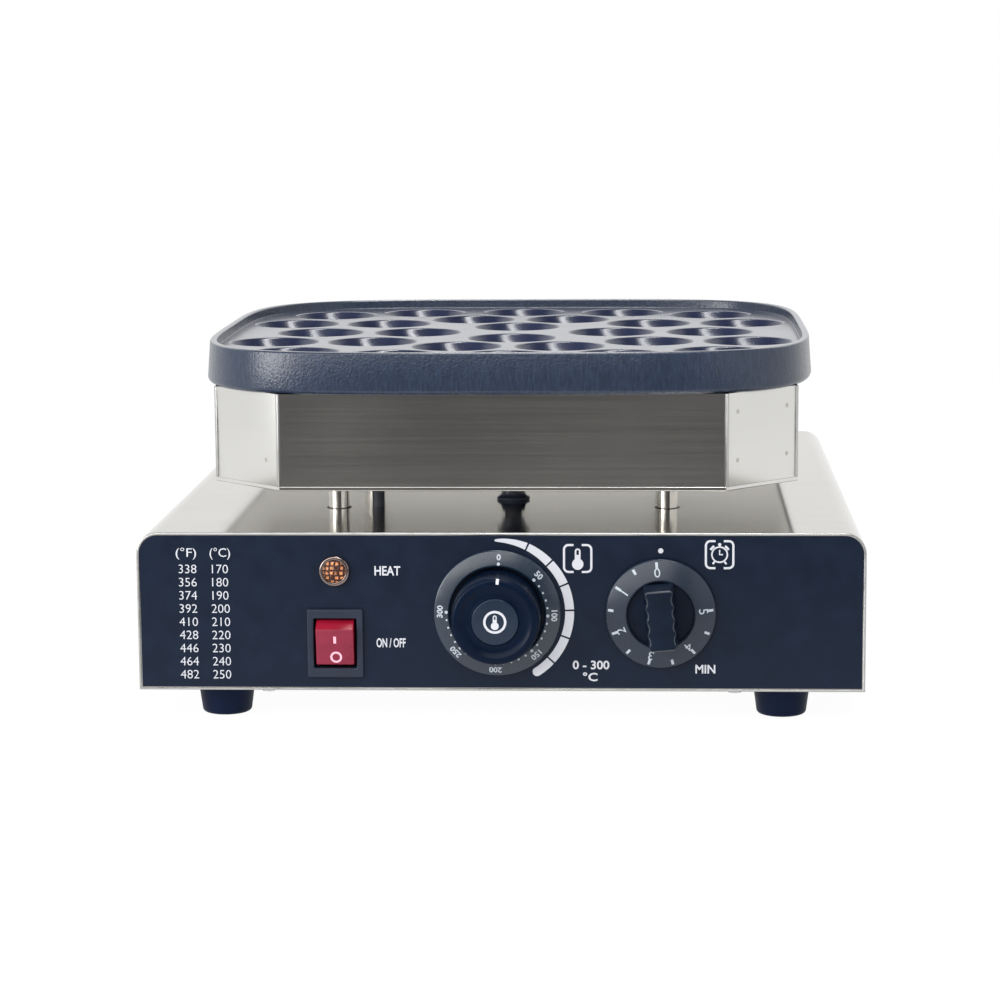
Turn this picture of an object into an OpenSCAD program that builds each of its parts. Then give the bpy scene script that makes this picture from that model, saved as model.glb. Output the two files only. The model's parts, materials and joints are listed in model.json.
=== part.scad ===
// Electric pancake baker: a cast plate with round cups on a low steel head, carried on
// four posts above a steel base that holds the switch, pilot light, thermostat and timer.
// The front faces -Y, +Z is up, and the origin lies on the table under the middle.

/* [Base] */
// Width of the base
base_w = 338; // [300:1:400]
// Depth of the base from the face of the overlay to the rear panel
base_d = 362; // [330:1:420]
// Height of the base housing, bottom plate included
base_h = 74.5; // [72:0.5:90]
// Outer radius of the bends along both sides of the top
base_bend_r = 10; // [6:0.5:14]
// Thickness of the base sheet steel
base_sheet = 1; // [0.8:0.1:1.5]
// Thickness of the front panel
panel_sheet = 1.2; // [0.8:0.1:2]
// Width of the inward flanges that the screws hold
flange_w = 14; // [12:0.5:20]
// Height of the rubber feet
foot_h = 15.5; // [12:0.5:25]
// Foot diameter at the bottom plate
foot_top_d = 27; // [20:0.5:32]
// Foot diameter at the table
foot_low_d = 23.5; // [18:0.5:30]
// Foot centre to the side of the base
foot_inset_x = 37.5; // [25:0.5:50]
// Foot centre to the front and the back of the base
foot_inset_y = 26; // [20:0.5:45]

/* [Front panel] */
// Thickness of the printed overlay
overlay_t = 0.5; // [0.3:0.1:1]
// Bare steel left around the overlay
overlay_margin = 1.5; // [0.5:0.1:4]
// Middle of the temperature dial, from the middle of the panel
dial_x = -1; // [-10:0.5:10]
// Distance from the dial to the timer and to the switch
control_pitch = 75.5; // [70:0.5:90]
// Height of the pilot light above the middle of the panel
pilot_rise = 19.4; // [17:0.1:22]
// Drop of the switch below the middle of the panel
switch_drop = 14.6; // [12:0.1:16]
// Width of the switch bezel
switch_w = 26; // [24:0.5:32]
// Height of the switch bezel
switch_h = 32; // [30:0.5:36]
// Travel of the rocker from off to on, in degrees
rocker_travel = 20; // [12:1:22]
// Diameter of the pilot light bezel
pilot_d = 14.2; // [12:0.1:18]
// Outer diameter of the fixed temperature ring
dial_d = 59; // [54:0.5:66]
// Diameter of the temperature knob
knob_d = 41.5; // [38:0.5:44]
// Reach of the temperature knob in front of the overlay
knob_reach = 24; // [20:0.5:32]
// Diameter of the timer knob
timer_d = 51; // [48:0.5:60]
// Reach of the timer grip in front of the overlay
timer_reach = 22; // [16:0.5:30]
// Diameter of the control shafts
shaft_d = 6; // [5:0.5:8]

/* [Head] */
// Clear gap between the base and the head
post_gap = 15; // [12:0.5:40]
// Diameter of the support posts
post_d = 10; // [8:0.5:14]
// Distance between the posts across the head
post_pitch_x = 160; // [130:1:180]
// Distance between the posts along the head
post_pitch_y = 188; // [150:1:200]
// Shift of the posts' middle from the head's middle, to the right
post_shift_x = -2; // [-5:0.5:5]
// Shift of the head's middle from the base's middle, towards the rear
head_shift_y = -10; // [-15:1:10]
// Height of the head from its bottom to the plate
head_h = 46; // [42:0.5:70]
// Chamfer at the corners of the head
head_chamfer = 35; // [28:0.5:42]
// Thickness of the head sheet steel
head_sheet = 1; // [0.8:0.1:1.5]
// Thickness of the head's bottom sheet, which shows as a lip
head_lip = 2; // [1:0.1:4]
// Thickness of the insulation pad
pad_t = 15; // [10:0.5:20]
// Conduit from the middle of the base, to the right
conduit_x = 2; // [-20:0.5:20]
// Conduit from the middle of the head, towards the rear
conduit_y = -68; // [-72:0.5:-64]
// Outer diameter of the wire conduit
conduit_d = 8.4; // [8:0.1:10]
// Capillary sleeve from the middle of the head, to the right
sleeve_x = -63; // [-66:0.5:-60]
// Capillary sleeve from the middle of the head, towards the rear
sleeve_y = -91; // [-93:0.5:-88]
// Outer diameter of the capillary sleeve
sleeve_d = 6; // [5:0.1:8]

/* [Baking plate] */
// Diameter of a cup at its mouth
cup_d = 45; // [40:0.5:50]
// Depth of a cup below the plate's face
cup_depth = 12.5; // [8:0.5:13]
// Narrowest web between two cups
cup_web = 3.6; // [3:0.1:6]
// Width of the bevel round each cup
cup_bevel = 0.8; // [0.4:0.1:1.5]
// Plate face left beside the outermost cups at the sides
land_x = 1.4; // [1:0.1:6]
// Plate face left beside the outermost cups at front and rear
land_y = 6.8; // [1:0.1:8]
// Width of the raised rim
rim_w = 5; // [4:0.5:8]
// Height of the rim from its lower edge
rim_h = 20; // [18:0.5:30]
// Depth of the plate's face below the rim
face_drop = 4.5; // [2:0.5:6]
// Corner radius of the plate
plate_r = 78; // [50:1:84]
// Radius of the rim's outer top edge
rim_round = 1.5; // [1:0.5:4]
// Overhang of the plate past the head walls
plate_overhang = 7; // [4:0.5:12]
// Diameter of the tube heating elements
heater_d = 8; // [6.5:0.5:9]
// Bend radius of the heating elements
heater_bend = 30; // [26:0.5:32]

/* [Fits] */
// Radial clearance of a turning shaft or pin
run_gap = 0.05; // [0.02:0.01:0.1]
// Radial clearance of a piece in a hole that it passes through
pass_gap = 0.2; // [0.1:0.05:0.4]
// Clearance of a seat that nearly touches
seat_gap = 0.1; // [0.05:0.05:0.3]

/* [Hidden] */
$fn = 64;

// Colours
STEEL = [0.78, 0.78, 0.76];
DARK_STEEL = [0.55, 0.55, 0.55];
NAVY = [0.11, 0.14, 0.23];
PLATE_BLUE = [0.22, 0.26, 0.35];
BLACK = [0.07, 0.07, 0.08];
DIAL_GREY = [0.22, 0.24, 0.27];
RED = [0.75, 0.12, 0.18];
AMBER = [0.85, 0.42, 0.15];
COPPER = [0.62, 0.38, 0.28];
CERAMIC = [0.92, 0.9, 0.85];
WOOL = [0.85, 0.8, 0.62];

// Cord gland at the rear
gland_hex_d = 22;
gland_hex_h = 5;
gland_thread_r = 7.5;
gland_thread_in = 12;
gland_stub_r = 6.5;
gland_stub_h = 7;
gland_bore_r = 4;
gland_cap_r = 9.5;
gland_mouth_r = 4.6;
gland_cap_h = 11;
gland_nut_h = 4;
gland_reach = gland_hex_h + gland_cap_h;
gland_side = 52;
gland_rise = 26;

// Depth positions, front to rear
front_face_y = (knob_reach - base_d - gland_reach) / 2;
panel_y = front_face_y + overlay_t;
cover_y0 = panel_y + panel_sheet;
rear_face_y = front_face_y + base_d;
cover_y1 = rear_face_y - base_sheet;
base_mid_y = (front_face_y + rear_face_y) / 2;
head_y = base_mid_y + head_shift_y;

// Heights
cover_z0 = foot_h + base_sheet;
base_top = foot_h + base_h;
base_roof = base_top - base_sheet;
panel_mid_z = foot_h + base_h / 2;
head_z = base_top + post_gap;
head_floor = head_z + head_lip;
plate_z = head_z + head_h;
plate_face = plate_z + rim_h - face_drop;
pad_top = head_floor + pad_t;

// Cup layout in one quarter of the plate, counted in cup pitches
cup_pitch = cup_d + cup_web;
CUP_SPOTS = [[0, 0.62], [0, 2.35], [1.03, 0], [2.06, 0], [0.52, 1.48], [1.42, 0.99],
    [2.43, 0.99], [1.12, 2.28], [2.11, 2]];
CUP_REACH_X = max([for (spot = CUP_SPOTS) spot[0]]);
CUP_REACH_Y = max([for (spot = CUP_SPOTS) spot[1]]);
cup_r = cup_d / 2;
cup_throat_r = cup_r - cup_bevel;
cup_bowl = cup_depth - cup_bevel;
cup_ball_r = (cup_throat_r * cup_throat_r + cup_bowl * cup_bowl) / (2 * cup_bowl);
plate_w = 2 * (CUP_REACH_X * cup_pitch + cup_r + land_x + rim_w);
plate_d = 2 * (CUP_REACH_Y * cup_pitch + cup_r + land_y + rim_w);
head_w = plate_w - 2 * plate_overhang;
head_d = plate_d - 2 * plate_overhang;

// Studs between the cups, in cup pitches, and the heating elements that straddle them
STUD_SPOT = [1.545, 1.52];
stud_x = STUD_SPOT[0] * cup_pitch;
stud_y = STUD_SPOT[1] * cup_pitch;
stud_r = 3;
stud_sink = 7;
stud_end = 2;
heater_r = heater_d / 2;
heater_z = plate_z - heater_r - seat_gap;
heater_end_x = -95;
heater_turn_x = 95;
pin_r = 2;
pin_out = 20;
pin_end_x = heater_end_x - pin_out;
insulator_l = 8;
insulator_r = 4;
clamp_w = 16;
clamp_t = 3;
clamp_top = heater_z - heater_r - seat_gap;
clamp_margin = 10;
M6_NUT_D = 11.5;
M6_NUT_H = 5;
wool_gap = 4;
reflector_t = 0.8;
tab_half = 75;
tab_h = 10;

// Screws that hold the plate to the head walls, midway between two of the outer cups
plate_screw_half = (CUP_SPOTS[1][0] + CUP_SPOTS[7][0]) / 2 * cup_pitch;
plate_screw_r = 2.5;
plate_screw_in = 6;
top_flange_w = 12;
top_flange_l = 180;
lap_w = 12;
HALF_BEND = 22.5;

// Posts and passages
post_stud_r = 3;
post_stud_end = 3;
post_stud_out = M6_NUT_H + post_stud_end;
grommet_r = 8.3;
grommet_lip = 1.5;
grommet_neck_r = 6.2;
grommet_cone_h = 5.6;
grommet_step = 1;
conduit_y_abs = head_y + conduit_y;
sleeve_y_abs = head_y + sleeve_y;
tube_wall = 0.8;
passage_in = 14;

// Screws of the base
screw_r = 1.5;
screw_head_r = 3.2;
screw_head_h = 1.8;
screw_l = 6;
front_screw_x = 109;
side_screw_half = 60;
foot_screw_r = 2;
foot_screw_head_r = 4;
foot_screw_head_h = 2.5;
foot_recess_r = 6;
foot_recess_h = 8;
vent_w = 4;
vent_l = 40;
vent_pitch = 12;
vent_rows = 7;
vent_x = 68;

// Controls, in the panel's own frame: x right, y up, z out of the overlay
panel_back = -(overlay_t + panel_sheet);
timer_x = dial_x + control_pitch;
switch_x = dial_x - control_pitch;
switch_z = panel_mid_z - switch_drop;
pilot_z = panel_mid_z + pilot_rise;
shaft_r = shaft_d / 2;
shaft_flat = shaft_r / 2;
shaft_sink = 12;
bush_wall = 1.8;
bush_r = shaft_r + bush_wall;
bush_out = 0.7;
control_screw_half = 14;
control_screw_r = 2;
control_screw_head_r = 3.5;
control_screw_head_h = 2.1;
control_screw_sink = 7;
knob_lift = 1;
knob_wall = 2.3;
hub_wall = 4;
hub_r = shaft_r + hub_wall;
hub_gap = 0.5;
hub_lift = bush_out + hub_gap;
knob_cap = 5;
bore_top = knob_reach - knob_cap;
boss_r = 10.7;
boss_edge = 0.4;
boss_foot = 1;
dish_depth = 1.2;
knob_edge = 2;
knob_draft = 0.5;
knob_rim = 1;
knob_play = 1.2;
ring_low = 2.6;
ring_high = 4.6;
ring_edge = 1;
skirt_top = 6.6;
skirt_rim = 3.4;
skirt_floor = 4.2;
skirt_hollow = 2.8;
skirt_edge = 1;
finger_r = 15.2;
finger_slope = 1;
grip_w = 12.5;
grip_foot_w = 15;
grip_l = 28;
grip_sink = 1;
timer_cap = 6;
timer_bore_top = timer_reach - timer_cap;
thermostat_w = 38;
thermostat_h = 34;
thermostat_l = 30;
timer_body_w = 50;
timer_body_l = 34;
switch_lip = 2;
switch_ledge = 2;
switch_body_w = switch_w - 2 * switch_ledge;
switch_body_h = switch_h - 2 * switch_ledge;
switch_wall = 1;
switch_end = 2.25;
switch_l = 22;
switch_floor = 4;
switch_cavity_w = switch_body_w - 2 * switch_wall;
switch_cavity_h = switch_body_h - 2 * switch_end;
pivot_depth = 4;
pivot_r = 1.5;
pivot_l = switch_body_w - switch_wall;
rocker_side = 1.2;
rocker_w = switch_cavity_w - 2 * rocker_side;
rocker_end = 0.4;
rocker_slope = 2.8;
rocker_base = switch_cavity_h / 2 - rocker_end;
rocker_face = rocker_base - rocker_slope;
rocker_base_out = 2;
rocker_face_out = 8;
rocker_flank = 1;
rocker_tail = 3;
blade_w = 6.3;
blade_t = 0.8;
blade_l = 9;
pilot_ledge = 1.3;
pilot_wall = 0.6;
pilot_slope = 0.5;
pilot_body_r = pilot_d / 2 - pilot_ledge;
pilot_lens_r = pilot_body_r - pilot_wall;
pilot_l = 26;
pilot_rim_h = 2.2;
pilot_dome = 3.6;

// Wiring and the capillary
wire_r = 1.2;
wire_bend = 3;
wire_gap = 1.6;
wire_lift = 3;
wire_level = pad_top + reflector_t + wire_lift;
lead_step = 3.5;
lead_b_x = pin_end_x - lead_step;
lead_a_x = lead_b_x - lead_step;
link_x = lead_a_x - 1.3 * lead_step;
capillary_r = 1;
capillary_bend = 5;
capillary_lift = 5;
capillary_level = wire_level + capillary_lift;
capillary_rise = 8;
capillary_low = panel_mid_z + capillary_rise;
bulb_y = -17;
bulb_x0 = -48;
bulb_x1 = 40;
block_w = 50;
block_d = 22;
block_h = 20;
block_shift = 110;
block_holes = 5;
block_hole_r = 2;
block_y = base_mid_y + block_shift;
lead_low = cover_z0 + block_h / 2;
lead_rise = 10;
lead_mid = panel_mid_z + lead_rise;

// Sides of the four-fold pieces
FRONT = -1;
REAR = 1;
LEFT = -1;
RIGHT = 1;

// Octagon with equal chamfers, drawn a given distance inside the head's outline
function octagon(inset) =
    let (x = head_w / 2 - inset, y = head_d / 2 - inset,
        c = head_chamfer - inset * (2 - sqrt(2)))
    [[x, y - c], [x - c, y], [c - x, y], [-x, y - c], [-x, c - y], [c - x, -y],
        [x - c, -y], [x, c - y]];

// Unit vector from one point to another
function heading(a, b) = (b - a) / norm(b - a);

// Turned frame whose columns are three unit vectors
function frame_of(x, y, z, at) = [[x[0], y[0], z[0], at[0]], [x[1], y[1], z[1], at[1]],
    [x[2], y[2], z[2], at[2]], [0, 0, 0, 1]];

// Rectangle with two rounded upper corners, standing on the x axis
module arch(w, h, r) {
    translate([-w / 2, 0])
        square([w, h - r]);
    translate([r - w / 2, 0])
        square([w - 2 * r, h]);
    for (side = [LEFT, RIGHT])
        translate([side * (w / 2 - r), h - r])
            circle(r);
}

// Upright slab with the outline of an arch, its front face at the given depth
module arch_slab(w, h, r, t, y, z) {
    translate([0, y + t, z])
        rotate([90, 0, 0])
            linear_extrude(t)
                arch(w, h, r);
}

// Block with round corners in plan
module round_block(w, d, h, r) {
    translate([r - w / 2, -d / 2, 0])
        cube([w - 2 * r, d, h]);
    translate([-w / 2, r - d / 2, 0])
        cube([w, d - 2 * r, h]);
    for (sx = [LEFT, RIGHT], sy = [FRONT, REAR])
        translate([sx * (w / 2 - r), sy * (d / 2 - r), 0])
            cylinder(r = r, h = h);
}

// Block with round corners in plan and a rounded top edge
module crowned_block(w, d, h, r, edge) {
    translate([r - w / 2, 0, 0])
        rotate([90, 0, 90])
            linear_extrude(w - 2 * r)
                arch(d, h, edge);
    translate([0, d / 2 - r, 0])
        rotate([90, 0, 0])
            linear_extrude(d - 2 * r)
                arch(w, h, edge);
    for (sx = [LEFT, RIGHT], sy = [FRONT, REAR])
        translate([sx * (w / 2 - r), sy * (d / 2 - r), 0])
            rotate_extrude()
                intersection() {
                    arch(2 * r, h, edge);
                    square([r, h]);
                }
}

// Slot with round ends, long in x, cut through z
module slot(l, w, h) {
    translate([-(l - w) / 2, -w / 2, 0])
        cube([l - w, w, h]);
    for (side = [LEFT, RIGHT])
        translate([side * (l - w) / 2, 0, 0])
            cylinder(d = w, h = h);
}

// Tube or rod along a route of square corners, each with the same bend radius
module routed_rod(route, r, bend) {
    last = len(route) - 1;
    for (i = [0 : last - 1]) {
        u = heading(route[i], route[i + 1]);
        start = route[i] + u * (i == 0 ? 0 : bend);
        stop = route[i + 1] - u * (i + 1 == last ? 0 : bend);
        side = [u[1], u[2], u[0]];
        if (norm(stop - start) > seat_gap)
            multmatrix(frame_of(side, cross(u, side), u, start))
                cylinder(r = r, h = norm(stop - start));
    }
    for (i = [1 : last - 1]) {
        u = heading(route[i - 1], route[i]);
        v = heading(route[i], route[i + 1]);
        multmatrix(frame_of(-v, u, cross(u, v), route[i] + (v - u) * bend))
            rotate_extrude(angle = 90)
                translate([bend, 0])
                    circle(r);
    }
}

// Six-sided nut standing on z = 0
module hex_nut(d, h, hole_r) {
    difference() {
        cylinder(d = d, h = h, $fn = 6);
        translate([0, 0, -h])
            cylinder(r = hole_r, h = 3 * h);
    }
}

// Pan-head screw, its head under z = 0 and its shank above
module pan_screw(r, l, head_r, head_h) {
    translate([0, 0, -head_h]) {
        cylinder(r = r, h = l + head_h);
        cylinder(r = head_r, h = head_h);
    }
}

// Move children into the panel's own frame at a place on the overlay
module on_panel(x, z) {
    translate([x, front_face_y, z])
        rotate([90, 0, 0])
            children();
}

// Move children to the rear face, with z pointing out of the rear
module on_gland() {
    translate([gland_side - base_w / 2, rear_face_y, foot_h + gland_rise])
        rotate([-90, 0, 0])
            children();
}

// Repeat children at the four posts
module at_posts() {
    for (sx = [LEFT, RIGHT], sy = [FRONT, REAR])
        at_post(sx, sy)
            children();
}

module at_post(sx, sy) {
    translate([post_shift_x + sx * post_pitch_x / 2, head_y + sy * post_pitch_y / 2, 0])
        children();
}

module at_foot(sx, sy) {
    translate([sx * (base_w / 2 - foot_inset_x), base_mid_y + sy * (base_d / 2 - foot_inset_y), 0])
        children();
}

module at_feet() {
    for (sx = [LEFT, RIGHT], sy = [FRONT, REAR])
        at_foot(sx, sy)
            children();
}

// Screws that come up through the bottom plate into the flanges
module at_bottom_screws() {
    for (sx = [LEFT, RIGHT]) {
        translate([sx * front_screw_x, cover_y0 + flange_w / 2, foot_h])
            children();
        translate([sx * front_screw_x, cover_y1 - flange_w / 2, foot_h])
            children();
        for (sy = [FRONT, REAR])
            translate([sx * (base_w / 2 - base_sheet - flange_w / 2),
                base_mid_y + sy * side_screw_half, foot_h])
                children();
    }
}

// Screws that go in through the rear panel
module at_rear_screws() {
    for (sx = [LEFT, RIGHT], z = [cover_z0 + flange_w, base_top - base_bend_r - flange_w])
        translate([sx * (base_w / 2 - base_sheet - flange_w / 2), rear_face_y, z])
            rotate([90, 0, 0])
                children();
}

// The two screws beside a control's shaft
module at_control_screws() {
    for (x = [dial_x, timer_x], side = [LEFT, RIGHT])
        on_panel(x + side * control_screw_half, panel_mid_z)
            children();
}

module at_studs() {
    for (ix = [-1 : 1], iy = [-1 : 1])
        translate([ix * stud_x, head_y + iy * stud_y, 0])
            children();
}

// Every cup, from the quarter layout mirrored about both middle lines
module at_cups() {
    for (spot = CUP_SPOTS)
        for (sx = spot[0] == 0 ? [1] : [LEFT, RIGHT], sy = spot[1] == 0 ? [1] : [FRONT, REAR])
            translate([sx * spot[0] * cup_pitch, head_y + sy * spot[1] * cup_pitch, 0])
                children();
}

// Screws up through the walls' top flanges into the plate
module at_plate_screws() {
    for (side = [-1, 1], wall = [-1, 1]) {
        translate([side * plate_screw_half, head_y + wall * (head_d / 2 - head_sheet - plate_screw_in),
            plate_z - head_sheet])
            children();
        translate([wall * (head_w / 2 - head_sheet - plate_screw_in), head_y + side * plate_screw_half,
            plate_z - head_sheet])
            children();
    }
}

// Everything that the panel and its overlay are pierced for
module panel_cuts() {
    reach = 2 * (overlay_t + panel_sheet);
    on_panel(switch_x, switch_z)
        translate([-switch_body_w / 2 - pass_gap, -switch_body_h / 2 - pass_gap, -reach])
            cube([switch_body_w + 2 * pass_gap, switch_body_h + 2 * pass_gap, 2 * reach]);
    on_panel(switch_x, pilot_z)
        translate([0, 0, -reach])
            cylinder(r = pilot_body_r + pass_gap, h = 2 * reach);
    for (x = [dial_x, timer_x])
        on_panel(x, panel_mid_z)
            translate([0, 0, -reach])
                cylinder(r = bush_r + pass_gap, h = 2 * reach);
    at_control_screws()
        translate([0, 0, -reach])
            cylinder(r = control_screw_r + pass_gap, h = 2 * reach);
}

// Holes in the base top for the posts, the conduit's grommet and the sleeve
module base_top_holes() {
    post_holes(base_roof, base_sheet, post_stud_r + pass_gap);
    passage_holes(base_roof, base_sheet, grommet_neck_r + seat_gap);
}

module base_cover() {
    bent_w = flange_w + base_sheet;
    long = cover_y1 - cover_y0;
    color(STEEL)
        difference() {
            union() {
                difference() {
                    arch_slab(base_w, base_top - cover_z0, base_bend_r, long, cover_y0, cover_z0);
                    arch_slab(base_w - 2 * base_sheet, base_roof - cover_z0, base_bend_r - base_sheet,
                        3 * long, cover_y0 - long, cover_z0);
                }
                for (side = [LEFT, RIGHT]) {
                    flange_x = side * (base_w - bent_w) / 2 - bent_w / 2;
                    translate([flange_x, cover_y0 + 2 * flange_w, cover_z0])
                        cube([bent_w, long - 4 * flange_w, base_sheet]);
                    translate([flange_x, cover_y1 - base_sheet, cover_z0 + base_sheet])
                        cube([bent_w, base_sheet, base_top - base_bend_r - cover_z0 - base_sheet]);
                }
            }
            base_top_holes();
            at_bottom_screws()
                cylinder(r = screw_r + seat_gap, h = 4 * base_sheet);
            at_rear_screws()
                cylinder(r = screw_r + seat_gap, h = 4 * base_sheet);
        }
}

module front_panel() {
    color(STEEL)
        difference() {
            union() {
                arch_slab(base_w, base_top - cover_z0, base_bend_r, panel_sheet, panel_y, cover_z0);
                translate([2 * flange_w - base_w / 2, panel_y, cover_z0])
                    cube([base_w - 4 * flange_w, panel_sheet + flange_w, base_sheet]);
            }
            panel_cuts();
            at_bottom_screws()
                cylinder(r = screw_r + seat_gap, h = 4 * base_sheet);
        }
}

module panel_overlay() {
    color(NAVY)
        difference() {
            arch_slab(base_w - 2 * overlay_margin, base_h - 2 * overlay_margin,
                base_bend_r - overlay_margin, overlay_t, front_face_y, foot_h + overlay_margin);
            panel_cuts();
        }
}

module rear_panel() {
    vents = floor((base_w / 2 - 4 * flange_w) / vent_pitch);
    color(STEEL)
        difference() {
            union() {
                arch_slab(base_w, base_top - cover_z0, base_bend_r, base_sheet, cover_y1, cover_z0);
                translate([2 * flange_w - base_w / 2, cover_y1 - flange_w, cover_z0])
                    cube([base_w - 4 * flange_w, flange_w + base_sheet, base_sheet]);
            }
            on_gland()
                translate([0, 0, -2 * base_sheet])
                    cylinder(r = gland_thread_r + pass_gap, h = 4 * base_sheet);
            for (i = [0 : vents - 1])
                translate([flange_w + i * vent_pitch, rear_face_y + base_sheet, panel_mid_z])
                    rotate([90, 90, 0])
                        slot(vent_l, vent_w, 3 * base_sheet);
            at_bottom_screws()
                cylinder(r = screw_r + seat_gap, h = 4 * base_sheet);
            at_rear_screws()
                translate([0, 0, -base_sheet])
                    cylinder(r = screw_r + seat_gap, h = 4 * base_sheet);
        }
}

module bottom_plate() {
    color(DARK_STEEL)
        difference() {
            translate([-base_w / 2, panel_y, foot_h])
                cube([base_w, rear_face_y - panel_y, base_sheet]);
            at_feet()
                translate([0, 0, foot_h - base_sheet])
                    cylinder(r = foot_screw_r + seat_gap, h = 3 * base_sheet);
            at_bottom_screws()
                translate([0, 0, -base_sheet])
                    cylinder(r = screw_r + seat_gap, h = 3 * base_sheet);
            for (side = [LEFT, RIGHT], i = [0 : vent_rows - 1])
                translate([side * vent_x, base_mid_y + (i - vent_rows / 2) * vent_pitch,
                    foot_h - base_sheet])
                    slot(vent_l, vent_w, 3 * base_sheet);
        }
}

module rubber_foot(sx, sy) {
    color(BLACK)
        at_foot(sx, sy)
            difference() {
                cylinder(d1 = foot_low_d, d2 = foot_top_d, h = foot_h);
                translate([0, 0, -foot_recess_h])
                    cylinder(r = foot_recess_r, h = 2 * foot_recess_h);
                cylinder(r = foot_screw_r + seat_gap, h = 2 * foot_h);
            }
}

module foot_screws() {
    color(DARK_STEEL)
        at_feet()
            translate([0, 0, foot_recess_h])
                pan_screw(foot_screw_r, cover_z0 + screw_l - foot_recess_h, foot_screw_head_r,
                    foot_screw_head_h);
}

module panel_screws() {
    color(DARK_STEEL) {
        at_bottom_screws()
            pan_screw(screw_r, screw_l, screw_head_r, screw_head_h);
        at_rear_screws()
            pan_screw(screw_r, screw_l, screw_head_r, screw_head_h);
    }
}

module cord_gland() {
    color(BLACK)
        on_gland()
            difference() {
                union() {
                    cylinder(d = gland_hex_d, h = gland_hex_h, $fn = 6);
                    translate([0, 0, -gland_thread_in])
                        cylinder(r = gland_thread_r, h = gland_thread_in + gland_hex_h);
                    cylinder(r = gland_stub_r, h = gland_hex_h + gland_stub_h);
                }
                translate([0, 0, -2 * gland_thread_in])
                    cylinder(r = gland_bore_r, h = 4 * gland_thread_in);
            }
}

module gland_cap() {
    collar = gland_cap_h - gland_hex_h;
    color(BLACK)
        on_gland()
            translate([0, 0, gland_hex_h])
                difference() {
                    union() {
                        cylinder(r = gland_cap_r, h = collar);
                        translate([0, 0, collar])
                            cylinder(r1 = gland_cap_r, r2 = gland_stub_r, h = gland_cap_h - collar);
                    }
                    translate([0, 0, -gland_stub_h])
                        cylinder(r = gland_stub_r + seat_gap, h = 2 * gland_stub_h + seat_gap);
                    cylinder(r = gland_mouth_r, h = 2 * gland_cap_h);
                }
}

module gland_nut() {
    color(BLACK)
        on_gland()
            translate([0, 0, -base_sheet - gland_nut_h])
                hex_nut(gland_hex_d, gland_nut_h, gland_thread_r + seat_gap);
}

module support_post(sx, sy) {
    color(STEEL)
        at_post(sx, sy) {
            translate([0, 0, base_top])
                cylinder(d = post_d, h = post_gap);
            translate([0, 0, base_roof - post_stud_out])
                cylinder(r = post_stud_r, h = head_floor - base_roof + 2 * post_stud_out);
        }
}

module post_nuts() {
    color(DARK_STEEL)
        at_posts() {
            translate([0, 0, base_roof - M6_NUT_H])
                hex_nut(M6_NUT_D, M6_NUT_H, post_stud_r + seat_gap);
            translate([0, 0, head_floor])
                hex_nut(M6_NUT_D, M6_NUT_H, post_stud_r + seat_gap);
        }
}

// Grommet with a conical collar on one side of a sheet and a lip on the other
module grommet(sheet) {
    difference() {
        union() {
            cylinder(r = grommet_r, h = grommet_lip);
            translate([0, 0, grommet_lip])
                cylinder(r1 = grommet_r - grommet_step, r2 = conduit_d / 2 + grommet_step,
                    h = grommet_cone_h - grommet_lip);
            translate([0, 0, -sheet - grommet_lip])
                cylinder(r = grommet_neck_r, h = sheet + 2 * grommet_lip);
            translate([0, 0, -sheet - grommet_lip])
                cylinder(r = grommet_r, h = grommet_lip);
        }
        translate([0, 0, -grommet_r])
            cylinder(r = conduit_d / 2 + seat_gap, h = 3 * grommet_r);
    }
}

module lower_grommet() {
    color(BLACK)
        translate([conduit_x, conduit_y_abs, base_top])
            grommet(base_sheet);
}

module upper_grommet() {
    color(BLACK)
        translate([conduit_x, conduit_y_abs, head_z])
            mirror([0, 0, 1])
                grommet(head_lip);
}

// Straight tube that hangs through the base top and stands into the head
module passage_tube(d) {
    translate([0, 0, base_roof - passage_in])
        difference() {
            cylinder(d = d, h = pad_top - base_roof + passage_in);
            translate([0, 0, -passage_in])
                cylinder(d = d - 2 * tube_wall, h = pad_top - base_roof + 3 * passage_in);
        }
}

module wire_conduit() {
    color(BLACK)
        translate([conduit_x, conduit_y_abs, 0])
            passage_tube(conduit_d);
}

module capillary_sleeve() {
    color(BLACK)
        translate([sleeve_x, sleeve_y_abs, 0])
            passage_tube(sleeve_d);
}

// Extruded octagon inside the head's outline
module head_slab(inset, z, t) {
    translate([0, head_y, z])
        linear_extrude(t)
            polygon(octagon(inset));
}

// Holes that the conduit and the sleeve need in a layer of the head
module passage_holes(z, t, conduit_r) {
    translate([conduit_x, conduit_y_abs, z - t])
        cylinder(r = conduit_r, h = 3 * t);
    translate([sleeve_x, sleeve_y_abs, z - t])
        cylinder(r = sleeve_d / 2 + seat_gap, h = 3 * t);
}

// Holes that the posts or their nuts need in a layer
module post_holes(z, t, r) {
    at_posts()
        translate([0, 0, z - t])
            cylinder(r = r, h = 3 * t);
}

// Bottom sheet with upright tabs that the walls are fixed to
module head_bottom() {
    tab_x = head_w / 2 - 1.5 * head_sheet;
    tab_y = head_d / 2 - 1.5 * head_sheet;
    color(STEEL)
        difference() {
            union() {
                head_slab(0, head_z, head_lip);
                for (side = [-1, 1]) {
                    translate([-tab_half, head_y + side * tab_y - head_sheet / 2, head_z])
                        cube([2 * tab_half, head_sheet, head_lip + tab_h]);
                    translate([side * tab_x - head_sheet / 2, head_y - tab_half, head_z])
                        cube([head_sheet, 2 * tab_half, head_lip + tab_h]);
                }
            }
            passage_holes(head_z, head_lip, grommet_neck_r + seat_gap);
            post_holes(head_z, head_lip, post_stud_r + pass_gap);
        }
}

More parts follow.
